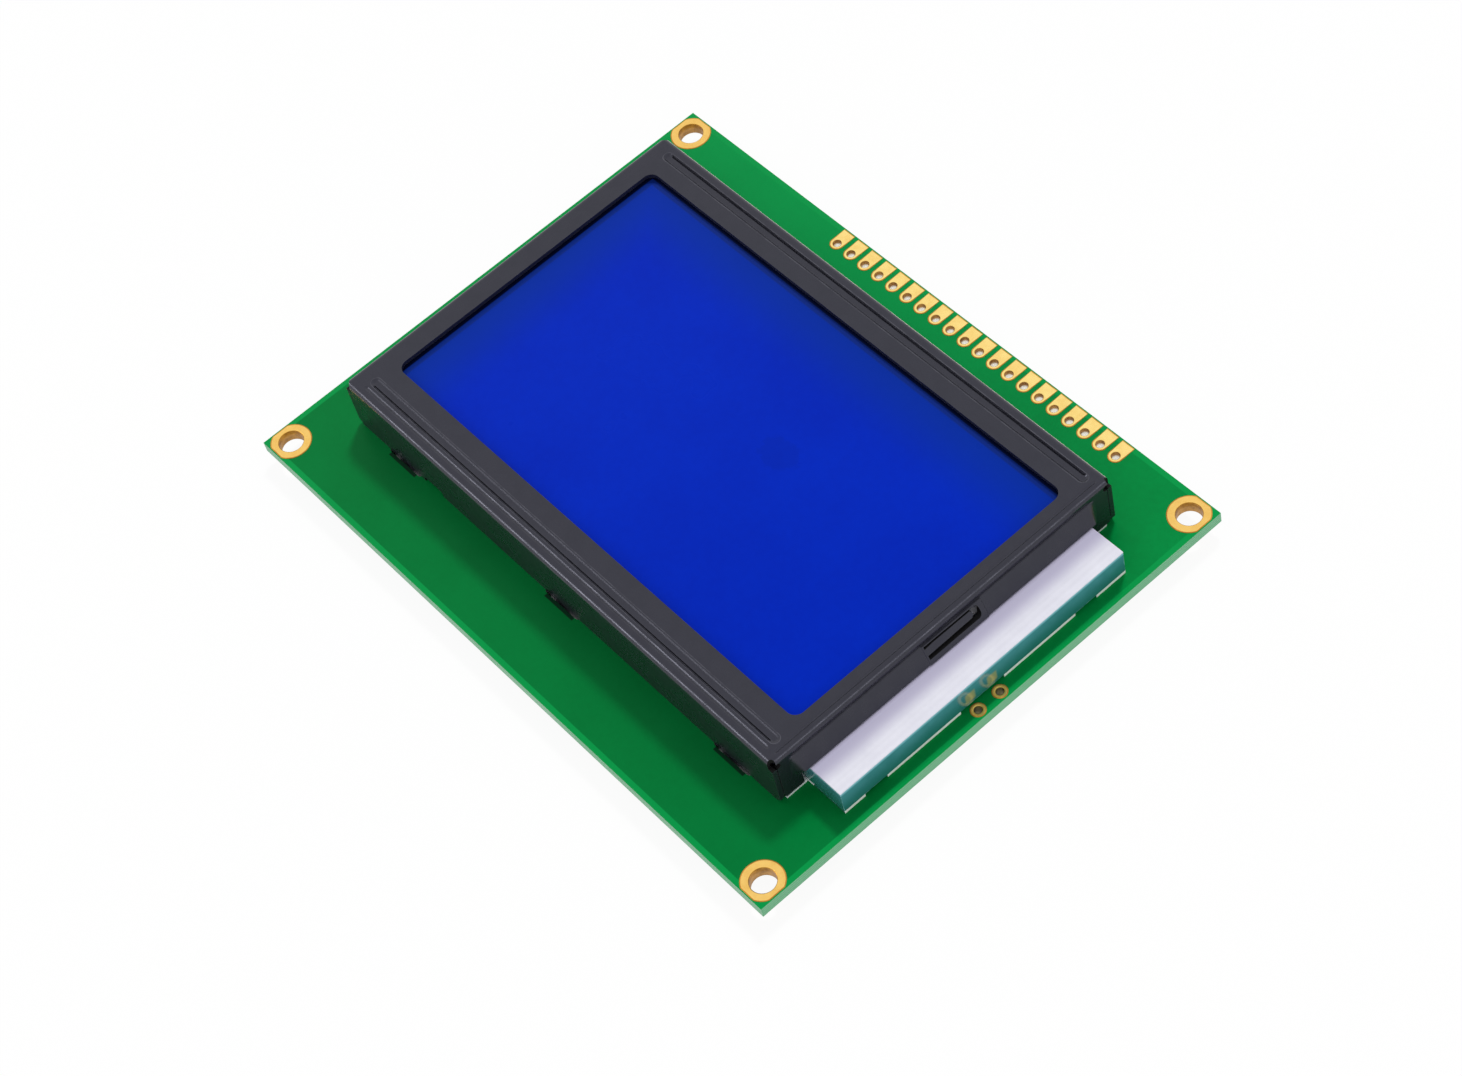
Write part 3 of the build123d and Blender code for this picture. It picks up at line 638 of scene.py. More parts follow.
@dataclass(frozen=True)
class PanelFinish(Finish):
    """The blue negative display film, with painted shade in a dark rim inside its window and in
    duller bands along the window's left and back edges.
    """

    # Painted shade: a dark rim inside the window for the recess under the bezel's edge.
    rim: Colour = from_display(6, 8, 22)
    recess_shade_edge: Place = (0.24, 0.36)
    recess_shade_share: float = 0.9
    lower_inset: float = 0.12
    # Painted shade: duller bands along the window's left and back edges, where the bezel's shadow
    # falls.
    painted_edge_shade: Colour = from_display(14, 36, 104)
    painted_edge_shade_edge: Place = (0.9, 1.15)
    # Painted shade too, fading out over the widest band.
    light: Colour = from_display(6, 44, 138)
    fading_shade_edge: Place = (0.3, 10.0)
    edge_shade_share: float = 0.75
    smudge: Colour = from_display(2, 30, 140)
    smudge_place: Place = (7.2, 4.0)
    smudge_reach: Place = (3.2, 2.2)
    smudge_share: float = 0.26

    def paint(self, graph: Graph, colour: object) -> object:
        """Painted shade: a dark rim inside the window and duller bands along its left and back
        edges; and a faint dry smudge.
        """
        x, y, _ = graph.axes()
        left, right, front, back = (value * MM for value in SITE.window)
        upper = graph.least(graph.less(x, left), graph.less(back, y))
        lower = graph.least(graph.less(right, x), graph.less(y, front))
        inside = graph.least(upper, graph.sum("ADD", lower, self.lower_inset * MM))
        # Painted shade, from the widest band to the dark rim.
        bands = (
            (upper, self.fading_shade_edge, self.edge_shade_share, self.light),
            (upper, self.painted_edge_shade_edge, self.edge_shade_share, self.painted_edge_shade),
            (inside, self.recess_shade_edge, self.recess_shade_share, self.rim),
        )
        for away, (low, high), share, tone in bands:
            colour = graph.mix(graph.span(away, low * MM, high * MM, share, 0.0), colour, tone)
        return graph.mix(self.dry_mark(graph, x, y), colour, self.smudge)

    def dry_mark(self, graph: Graph, x: object, y: object) -> object:
        """A mask of the smudge, with a ragged edge."""
        steps = [
            graph.sum("DIVIDE", graph.less(value, middle * MM), reach * MM)
            for value, middle, reach in zip((x, y), self.smudge_place, self.smudge_reach)
        ]
        edge = graph.less(graph.distance(*steps), 0.8)
        ragged = graph.sum("MULTIPLY_ADD", graph.noise(650.0, 4.0, 0.7), 1.6, edge)
        return graph.span(ragged, 0.8, 1.05, self.smudge_share, 0.0)


@dataclass(frozen=True)
class BezelFinish(Finish):
    """Black paint, with a fine lighter line round each bead and a painted highlight along the back
    fold.
    """

    # A fine lighter line along each bead's rim, on the flat face only.
    bead_line: Colour = from_display(76, 76, 83)
    bead_line_level: Place = (9.3, 9.4)
    bead_rim: float = 0.69
    # Painted highlight: a pale line along the back fold where its bend catches the light.
    fold_highlight: Colour = from_display(212, 211, 198)
    fold_level: float = 9.21
    fold_inset: Place = (0.34, 0.26)
    fold_share: float = 0.3

    def paint(self, graph: Graph, colour: object) -> object:
        """Adds the lighter bead lines and the painted fold highlight, broken up by noise."""
        x, y, z = graph.axes()
        gaps = graph.span(graph.noise(500.0, 3.0, 0.6), 0.36, 0.6, 0.2, 0.7)
        # Painted highlight along the back fold.
        low, high = ((SITE.back - inset) * MM for inset in self.fold_inset)
        level = graph.within(z, self.fold_level * MM, 0.14 * MM, 0.06 * MM)
        fold = graph.times(level, graph.span(y, low, high))
        share = graph.times(fold, graph.sum("ADD", gaps, self.fold_share))
        colour = graph.mix(share, colour, self.fold_highlight)
        # Lighter line round each bead's rim.
        face = graph.span(z, self.bead_line_level[0] * MM, self.bead_line_level[1] * MM)
        start, end = SITE.bead_xs
        from_middle = graph.size(graph.less(x, (start + end) / 2 * MM))
        past = graph.most(graph.less(from_middle, (end - start) / 2 * MM), 0.0)
        for line in SITE.bead_ys:
            away = graph.distance(past, graph.less(y, line * MM))
            rim = graph.within(away, self.bead_rim * MM, 0.045 * MM, 0.05 * MM)
            colour = graph.mix(graph.times(rim, gaps, face), colour, self.bead_line)
        return colour


@dataclass(frozen=True)
class BoreFinish(Finish):
    """Plating inside a hole, pale where the light from below reaches it."""

    pale: Colour = from_display(255, 252, 242)
    pale_share: float = 1.0
    start: float = 1.2
    end: float = 0.75

    def paint(self, graph: Graph, colour: object) -> object:
        """Lightens the lower part of the bore."""
        _, _, z = graph.axes()
        low = graph.span(z, self.end * MM, self.start * MM, self.pale_share, 0.0)
        return graph.mix(low, colour, self.pale)


@dataclass(frozen=True)
class GuideFinish(Finish):
    """Clear acrylic that shows the board's green, with a painted highlight along its top and edges,
    painted shade at its foot and a painted reflection of the supply rings.
    """

    # Painted highlight along the guide's upper edge.
    painted_top_highlight: Colour = from_display(120, 176, 192)
    painted_top_highlight_inset: Place = (0.45, 0.2)
    # Painted shade: the guide darker towards its foot.
    low: Colour = from_display(34, 106, 98)
    foot_shade_share: float = 0.9
    top: float = 5.5
    bottom: float = 2.05
    # Painted reflection of the gold supply rings in the guide's end face.
    ring: Colour = from_display(150, 150, 90)
    ring_reflection_level: float = 3.3
    ring_reflection_half: Place = (0.7, 0.75)
    ring_reflection_share: float = 0.7

    def paint(self, graph: Graph, colour: object) -> object:
        """Painted highlight on the upper edge, painted shade at the foot and a painted reflection
        of the supply rings.
        """
        x, y, z = graph.axes()
        # Painted shade at the foot, then the painted highlight along the top.
        foot = graph.span(z, self.bottom * MM, self.top * MM, self.foot_shade_share, 0.0)
        colour = graph.mix(foot, colour, self.low)
        start, end = ((self.top - inset) * MM for inset in self.painted_top_highlight_inset)
        colour = graph.mix(graph.span(z, start, end), colour, self.painted_top_highlight)
        half_y, half_z = self.ring_reflection_half
        height = graph.within(z, self.ring_reflection_level * MM, half_z * MM, 0.5 * MM)
        skin, face = (SITE.guide_end - 0.1) * MM, SITE.guide_end * MM
        front = graph.span(x, skin, face, 0.0, self.ring_reflection_share)
        # Painted reflection of each supply ring.
        for place in SITE.lamp_ys:
            band = graph.within(y, place * MM, half_y * MM, 0.35 * MM)
            colour = graph.mix(graph.times(band, height, front), colour, self.ring)
        return colour


@dataclass(frozen=True)
class CoverFilmFinish(Finish):
    """Thin white film, a little mauve where it runs under the bezel, partly its own tint and partly
    painted shade.
    """

    # Mauve under the bezel: partly the film's own tint, partly painted shade from the hood.
    under: Colour = from_display(178, 174, 198)
    shaded_film_xs: Place = (40.4, 42.9)
    streak: Colour = (0.5, 0.49, 0.56)
    streak_share: float = 0.12

    def paint(self, graph: Graph, colour: object) -> object:
        """Paints shade on the film from the bezel outwards, with fine brushed lines."""
        x, y, _ = graph.axes()
        inner = graph.span(x, self.shaded_film_xs[0] * MM, self.shaded_film_xs[1] * MM, 1.0, 0.0)
        colour = graph.mix(inner, colour, self.under)
        brushed = graph.node("ShaderNodeTexNoise", noise_dimensions="1D")
        graph.feed(brushed.inputs["W"], graph.sum("MULTIPLY_ADD", y, 0.012, x))
        graph.feed(brushed.inputs["Scale"], 1600.0)
        lines = graph.span(brushed.outputs[0], 0.35, 0.7, 0.0, self.streak_share)
        return graph.mix(lines, colour, self.streak)


@dataclass(frozen=True)
class StripFinish(Finish):
    """White strip board whose sawn front end shows its green laminate."""

    sawn: Colour = from_display(16, 80, 60)

    def paint(self, graph: Graph, colour: object) -> object:
        """Green on the front end only."""
        _, across, _ = graph.facing()
        return graph.mix(graph.span(across, -0.8, -0.6, 1.0, 0.0), colour, self.sawn)


class Palette:
    """Every finish of the module, by its name in the record."""

    board_laminate = BoardFinish(
        "board_laminate", from_display(0, 128, 58), from_display(0, 114, 50), roughness=0.38,
        roughness_swing=0.1, specular=0.35, tint=(0.06, 0.75, 0.28), grain_scale=1500.0,
        broad_scale=85.0, grain_height=0.01, grain_strength=0.35,
        dust_colour=from_display(90, 190, 130), dust=0.8, dust_scale=330.0, dust_size=0.06,
    )
    gold_plate = Finish(
        "gold_plate", from_display(247, 205, 116), from_display(239, 193, 102), roughness=0.34,
        roughness_swing=0.12, metallic=1.0, grain_scale=3500.0, broad_scale=700.0,
        grain_height=0.006, grain_strength=0.5, wear_colour=from_display(206, 140, 62),
        wear_width=0.12, wear=0.7,
    )
    # Painted light: the header pads, at the lit back of the board, take a lighter copy of the gold
    # plate.
    header_plate = replace(
        gold_plate, name="header_plate", colour=from_display(255, 226, 142),
        shade=from_display(248, 212, 124), roughness=0.32, wear_colour=from_display(214, 152, 74),
        wear_width=0.08, wear=0.5,
    )
    gold_rim = Finish(
        "gold_rim", from_display(214, 150, 66), from_display(180, 118, 48), roughness=0.45,
        metallic=0.9, grain_scale=3500.0, broad_scale=900.0,
    )
    # The bores' browner, darker gold is painted shade inside the holes; their pale lower parts are
    # painted light from below.
    gold_bore = BoreFinish(
        "gold_bore", from_display(186, 136, 68), from_display(146, 100, 48), roughness=0.42,
        metallic=0.85, grain_scale=3000.0, broad_scale=900.0, grain_height=0.01,
        grain_strength=0.5,
    )
    mount_bore = replace(
        gold_bore, name="mount_bore", colour=from_display(190, 136, 48),
        shade=from_display(146, 100, 32), metallic=1.0, pale_share=0.06,
    )
    lamp_bore = replace(
        gold_bore, name="lamp_bore", colour=from_display(112, 104, 44),
        shade=from_display(66, 68, 26), roughness=0.5, metallic=0.7, pale_share=0.02,
    )
    # Painted shade: the walls that the cutters leave take this darker black, for the shade inside
    # cuts and slots.
    bezel_cut = Finish(
        "bezel_cut", from_display(12, 12, 14), from_display(8, 8, 9), roughness=0.6, specular=0.2,
        grain_scale=2600.0, grain_height=0.01,
    )
    bezel_paint = BezelFinish(
        "bezel_paint", from_display(28, 28, 36), from_display(21, 21, 29), roughness=0.3,
        roughness_swing=0.1, specular=0.56, tint=(0.82, 0.83, 1.0), grain_scale=2600.0,
        broad_scale=420.0, grain_height=0.008, grain_strength=0.55,
        wear_colour=from_display(92, 92, 96), wear_width=0.12, wear=0.3,
        dust_colour=from_display(140, 140, 142), dust=0.7, dust_scale=420.0, dust_size=0.07,
    )
    display_film = PanelFinish(
        "display_film", from_display(0, 38, 178), from_display(0, 33, 168), roughness=0.3,
        roughness_swing=0.06, specular=0.4, tint=(0.0, 0.08, 0.6), grain_scale=1200.0,
        broad_scale=60.0, grain_height=0.001,
    )
    display_glass = Finish(
        "display_glass", from_display(16, 24, 52), from_display(12, 18, 42), roughness=0.12,
        roughness_swing=0.04, grain_scale=800.0, broad_scale=80.0, grain_height=0.001,
    )
    rear_film = Finish(
        "rear_film", from_display(20, 40, 110), from_display(14, 30, 90), roughness=0.3,
        grain_height=0.001,
    )
    sealant = Finish(
        "sealant", from_display(214, 196, 150), from_display(190, 168, 120), roughness=0.25,
        coat=0.4,
    )
    contact_rubber = Finish(
        "contact_rubber", from_display(226, 150, 150), from_display(206, 128, 132),
        roughness=0.65, grain_height=0.01,
    )
    white_plastic = Finish(
        "white_plastic", from_display(226, 228, 230), from_display(212, 215, 218), roughness=0.48,
        grain_scale=1800.0, grain_height=0.01, wear_colour=from_display(190, 190, 186),
        wear_width=0.1, wear=0.2,
    )
    # The light guide's pale edge colour, given as wear, is a painted highlight along its edges.
    clear_acrylic = GuideFinish(
        "clear_acrylic", from_display(72, 134, 144), from_display(58, 120, 128), roughness=0.1,
        roughness_swing=0.05, specular=0.35, tint=(0.5, 0.9, 0.9), coat=0.25, coat_roughness=0.05,
        grain_scale=700.0, broad_scale=240.0, grain_height=0.002,
        wear_colour=from_display(150, 198, 206), wear_width=0.14, wear=0.9,
    )
    cover_white = CoverFilmFinish(
        "cover_white", from_display(224, 224, 234), from_display(217, 217, 228), roughness=0.4,
        specular=0.3, grain_scale=1800.0, broad_scale=300.0, grain_height=0.004,
        wear_colour=from_display(240, 240, 246), wear_width=0.08, wear=0.4,
    )
    white_film = Finish(
        "white_film", from_display(230, 230, 236), from_display(220, 220, 228), roughness=0.45,
        grain_height=0.003,
    )
    white_strip = StripFinish(
        "white_strip", from_display(236, 237, 234), from_display(224, 226, 222), roughness=0.45,
        grain_height=0.006, dust_colour=from_display(170, 168, 150), dust=0.4, dust_scale=900.0,
    )
    lamp_body = Finish(
        "lamp_body", from_display(238, 232, 190), from_display(232, 222, 160), roughness=0.3,
        coat=0.3,
    )
    black_epoxy = Finish(
        "black_epoxy", from_display(24, 24, 25), from_display(17, 17, 18), roughness=0.3,
        roughness_swing=0.18, specular=0.5, grain_scale=900.0, broad_scale=220.0,
        grain_height=0.05, grain_strength=0.35, dust_colour=from_display(120, 118, 112), dust=0.6,
        dust_scale=480.0, dust_size=0.08,
    )
    black_ceramic = Finish(
        "black_ceramic", from_display(34, 34, 36), from_display(24, 24, 26), roughness=0.4,
        grain_height=0.006, wear_colour=from_display(120, 118, 112), wear_width=0.06, wear=0.3,
    )
    tan_ceramic = Finish(
        "tan_ceramic", from_display(164, 124, 86), from_display(146, 106, 72), roughness=0.5,
        grain_height=0.01, grain_scale=3800.0,
    )
    black_moulding = Finish(
        "black_moulding", from_display(36, 36, 37), from_display(27, 27, 28), roughness=0.55,
        grain_scale=5200.0, grain_height=0.012, grain_strength=0.5,
        wear_colour=from_display(84, 84, 84), wear_width=0.08, wear=0.3,
    )
    tinned_lead = Finish(
        "tinned_lead", from_display(206, 208, 210), from_display(176, 178, 182), roughness=0.3,
        roughness_swing=0.2, metallic=1.0, grain_scale=2600.0, broad_scale=900.0,
        grain_height=0.01, grain_strength=0.4,
    )


class Sheet:
    """Gathers points in millimetres and faces, and makes one mesh object."""

    def __init__(self) -> None:
        """Starts with nothing."""
        self.points: list[Point] = []
        self.faces: list[tuple[int, ...]] = []
        self.finishes: list[int] = []

    def point(self, x: float, y: float, z: float) -> int:
        """Adds a point and returns its number."""
        self.points.append((x, y, z))
        return len(self.points) - 1

    def face(self, *corners: int, finish: int = 0) -> None:
        """Adds a face, leaving out corners that repeat.

        Args:
            corners: Numbers of its points, anticlockwise seen from outside.
            finish: Which of the object's materials it has.
        """
        kept = [corner for index, corner in enumerate(corners) if corner != corners[index - 1]]
        if len(kept) > 2:
            self.faces.append(tuple(kept))
            self.finishes.append(finish)

    def ring(self, places: Sequence[Point]) -> list[int]:
        """Adds a closed row of points and returns their numbers."""
        return [self.point(*place) for place in places]

    def join(self, first: Sequence[int], second: Sequence[int], finish: int = 0) -> None:
        """Joins two closed rows of points with quads.

        Args:
            first: Lower or inner row.
            second: Upper or outer row, as long as the first.
            finish: Which material the quads have.
        """
        for index, start in enumerate(first):
            after = (index + 1) % len(first)
            self.face(start, first[after], second[after], second[index], finish=finish)

    def solid(
        self, rings: Sequence[Sequence[int]], finishes: Sequence[int] = (), ends: int = 0,
    ) -> None:
        """Joins closed rows one after another, and closes both ends.

        Args:
            rings: The rows, from one end to the other.
            finishes: Which material each stretch has; none means the first.
            ends: Which material the end faces have.
        """
        stretches = zip(rings, rings[1:])
        for (first, second), finish in zip(stretches, finishes or [0] * len(rings)):
            self.join(first, second, finish)
        self.face(*reversed(rings[0]), finish=ends)
        self.face(*rings[-1], finish=ends)

    def mesh(self, name: str) -> bpy.types.Mesh:
        """Makes the mesh, in metres."""
        made = bpy.data.meshes.new(name)
        places = [tuple(value * MM for value in place) for place in self.points]
        made.from_pydata(places, [], self.faces)
        return made

    def object(self, name: str, *materials: Finish, merge: float = 0.0) -> bpy.types.Object:
        """Makes the mesh object, with every face turned outwards.

        Args:
            name: The piece's name.
            materials: Its finishes, in the order that the faces number them.
            merge: Points nearer than this, in millimetres, become one.

        Returns:
            The object, linked into the scene.
        """
        mesh = self.mesh(name)
        for polygon, finish in zip(mesh.polygons, self.finishes):
            polygon.material_index = finish
            polygon.use_smooth = True
        for finish in materials:
            mesh.materials.append(finish.material())
        work = bmesh.new()
        work.from_mesh(mesh)
        if merge > 0:
            bmesh.ops.remove_doubles(work, verts=work.verts, dist=merge * MM)
        bmesh.ops.recalc_face_normals(work, faces=work.faces)
        work.to_mesh(mesh)
        work.free()
        made = bpy.data.objects.new(name, mesh)
        bpy.context.scene.collection.objects.link(made)
        return made


def soften(piece: bpy.types.Object, width: float) -> None:
    """Rounds a piece's sharp edges by a width in millimetres."""
    soft = piece.modifiers.new("edges", "BEVEL")
    soft.width = width * MM
    soft.segments = 2
    soft.limit_method = "ANGLE"


def settle(piece: bpy.types.Object, sharp: float = 32.0) -> bpy.types.Object:
    """Applies a piece's modifiers, and marks its sharp edges.

    Args:
        piece: The mesh object.
        sharp: Edges that turn by more than this many degrees stay crisp.

    Returns:
        The same object.
    """
    bpy.context.view_layer.update()
    if piece.modifiers:
        graph = bpy.context.evaluated_depsgraph_get()
        mesh = bpy.data.meshes.new_from_object(piece.evaluated_get(graph), depsgraph=graph)
        piece.modifiers.clear()
        piece.data = mesh
    for polygon in piece.data.polygons:
        polygon.use_smooth = True
    piece.data.set_sharp_from_angle(angle=math.radians(sharp))
    return piece


def place_piece(piece: bpy.types.Object, slot: str, *nodes: str) -> bpy.types.Object:
    """Puts a finished piece on the module's body.

    Args:
        piece: The mesh object.
        slot: The record's material slot.
        nodes: CAD nodes that it stands for.

    Returns:
        The same object.
    """
    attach(piece, "root")
    if nodes:
        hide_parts(*nodes)
    LOG.info("%s: %d faces, finish %s", piece.name, len(piece.data.polygons), slot)
    return piece


def dress_node(node: str, finish: Finish) -> None:
    """Gives a CAD node that keeps its shape a finish in each material slot.

    Args:
        node: The node's name.
        finish: The finish.
    """
    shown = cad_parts[node]
    for place in shown.material_slots:
        place.material = finish.material()
    if not shown.material_slots:
        shown.data.materials.append(finish.material())
    LOG.info("%s: CAD shape, finish %s", node, finish.name)


class CadPieces:
    """Pieces that keep their CAD shapes, each with its finish."""

    finishes: dict[str, Finish] = {}

    def build(self) -> None:
        """Dresses every piece."""
        for node, finish in self.finishes.items():
            dress_node(node, finish)


class CircuitBoard(CadPieces):
    """The printed board."""

    finishes = {"circuit_board": Palette.board_laminate}


class DisplayCell(CadPieces):
    """The films, glasses, seal and contact strips under the window."""

    finishes = {
        "front_polariser": Palette.display_film,
        "front_glass": Palette.display_glass,
        "rear_glass": Palette.display_glass,
        "rear_polariser": Palette.rear_film,
        "fill_port_seal": Palette.sealant,
        "contact_strip_front": Palette.contact_rubber,
        "contact_strip_back": Palette.contact_rubber,
    }


class Backlight(CadPieces):
    """The light guide with its films, frame, lamps and lamp strip."""

    finishes = {
        "backlight_frame": Palette.white_plastic,
        "light_guide": Palette.clear_acrylic,
        "cover_film": Palette.cover_white,
        "diffuser_sheet": Palette.white_film,
        "prism_sheet": Palette.white_film,
        "reflector_sheet": Palette.white_film,
        "lamp_strip_board": Palette.white_strip,
        "lamps": Palette.lamp_body,
    }


class Plating(IntEnum):
    """The materials of a plated hole, in the order that its faces number them."""

    PAD = 0
    RIM = 1
    BORE = 2


@dataclass(frozen=True)
class HoleKind:
    """What all plated holes of one kind share, in millimetres and radians."""

    bore: float
    points: int
    plate: Finish
    inside: Finish
    corners: tuple[float, ...] = ()


@dataclass
class PlatedHoles:
    """Gold pads with their plated bores, in both faces of the board."""

    copper: float = 0.05
    wall: float = 0.03
    half_x: float = 44.0
    half_y: float = 32.5
    ring_radius: float = 2.6
    ring_limit: float = 2.35
    header_y: float = 32.7
    header_first: float = -16.23
    header_pitch: float = 2.54
    header_count: int = 20
    thumb_half: float = 0.95
    thumb_tail: float = 2.15
    lamp_x: float = 45.35
    lamp_pad: float = 0.95
    lamp_ys: dict[str, float] = field(
        default_factory=lambda: dict(zip(("anode", "cathode"), SITE.lamp_ys)),
    )

    def build(self) -> None:
        """Makes every plated hole."""
        mount = HoleKind(1.6, 72, Palette.gold_plate, Palette.mount_bore)
        for number, (side_x, side_y) in enumerate(SQUARE, start=1):
            place = (side_x * self.half_x, side_y * self.half_y)
            ring = self.clipped_ring(side_x * self.ring_limit, side_y * self.ring_limit)
            self.hole(f"mounting_ring_{number}", f"mounting_pad_{number}", place, ring, mount)
        corner = math.atan2(self.thumb_tail, self.thumb_half)
        header = HoleKind(
            0.55, 40, Palette.header_plate, Palette.gold_bore, (corner, math.pi - corner),
        )
        for number in range(self.header_count):
            place = (self.header_first + number * self.header_pitch, self.header_y)
            names = (f"header_hole_{number + 1:02d}", f"header_pad_{number + 1:02d}")
            self.hole(*names, place, self.thumb, header)
        lamp = HoleKind(0.5, 36, Palette.gold_plate, Palette.lamp_bore)
        for name, y in self.lamp_ys.items():
            names = (f"lamp_hole_{name}", f"lamp_pad_{name}")
            self.hole(*names, (self.lamp_x, y), lambda angle: self.lamp_pad, lamp)

    def clipped_ring(self, limit_x: float, limit_y: float) -> Callable[[float], float]:
        """A ring's outline that is cut off towards the board's corner.

        Args:
            limit_x: Farthest reach along X, with its side's sign.
            limit_y: Farthest reach along Y, with its side's sign.

        Returns:
            The outline's radius as a function of the angle.
        """
        def reach(angle: float) -> float:
            """Radius at an angle."""
            limits = [self.ring_radius]
            for share, limit in ((math.cos(angle), limit_x), (math.sin(angle), limit_y)):
                if share * limit > 0:
                    limits.append(limit / share)
            return min(limits)
        return reach

    def thumb(self, angle: float) -> float:
        """A header pad's radius: round in front, square towards the board's edge."""
        along, across = abs(math.cos(angle)), math.sin(angle)
        if across <= 0:
            return self.thumb_half
        side = self.thumb_half / along if along > 1e-6 else math.inf
        return min(side, self.thumb_tail / across)

    def face_rows(self, level: float, inward: float) -> list[tuple[bool, float, float]]:
        """The rows of one pad, from its foot in the board to its bore.

        Args:
            level: The pad's outer face.
            inward: 1 where the board lies above the pad, and -1 below it.

        Returns:
            For each row: whether it follows the outline, its offset and its level.
        """
        return [
            (True, 0.0, level + inward * self.copper),
            (True, 0.0, level + inward * self.copper * 0.35),
            (True, -0.05, level),
            (True, -0.12, level),
            (False, 0.10, level),
            (False, 0.035, level + inward * 0.012),
            (False, -self.wall, level + inward * 0.06),
        ]

    def hole(
        self, name: str, node: str, place: Place, outline: Callable[[float], float], kind: HoleKind,
    ) -> None:
        """Makes one plated hole: both pads and the bore between them.

        Args:
            name: The piece's name.
            node: The CAD node that it stands for.
            place: Its centre.
            outline: The pad's radius as a function of the angle.
            kind: Its bore, its points round and its finishes.
        """
        angles = merged(kind.corners, full_turn(kind.points), nearest=0.06)
        rows = self.face_rows(SITE.board + self.copper, -1.0)
        rows += reversed(self.face_rows(-self.copper, 1.0))
        sheet = Sheet()
        rings = []
        for outer, offset, level in rows:
            places = []
            for angle in angles:
                radius = (outline(angle) if outer else kind.bore) + offset
                places += [(x, y, level) for x, y in arc(*place, radius, [angle])]
            rings.append(sheet.ring(places))
        down = [Plating.RIM] * 3 + [Plating.PAD] * 2 + [Plating.BORE]
        finishes = (*down, Plating.BORE, *reversed(down), Plating.RIM)
        for index, finish in enumerate(finishes):
            sheet.join(rings[index], rings[(index + 1) % len(rings)], finish)
        ring = sheet.object(name, kind.plate, Palette.gold_rim, kind.inside)
        place_piece(settle(ring, 50.0), "gold_plate", node)


@dataclass(frozen=True)
class Press:
    """A straight line pressed into the bezel's face, in millimetres."""

    start: float
    end: float
    line: float
    depth: float
    half: float
    wall: float
    way: Axis = Axis.X

    def fall(self, x: float, y: float) -> float:
        """How deep it presses the face at a place."""
        along, across = (x, y) if self.way is Axis.X else (y, x)
        past = max(self.start - along, 0.0, along - self.end)
        away = math.hypot(past, across - self.line)
        return self.depth * ease((self.half - away) / self.wall)


@dataclass(frozen=True)
class Prism:
    """A straight solid that is cut out of the bezel.

    Its outline lies in YZ when it runs along X, in XZ for Y and in XY for Z.
    """

    outline: Sequence[Place]
    low: float
    high: float
    way: Axis

    def add_to(self, sheet: Sheet) -> None:
        """Adds its points and faces to a mesh."""
        sheet.solid([
            sheet.ring([self.way.point(level, *place) for place in self.outline])
            for level in (self.low, self.high)
        ])


def around(i: int, j: int) -> tuple[tuple[int, int], ...]:
    """The four corners of a grid's cell."""
    return ((i, j), (i + 1, j), (i + 1, j + 1), (i, j + 1))


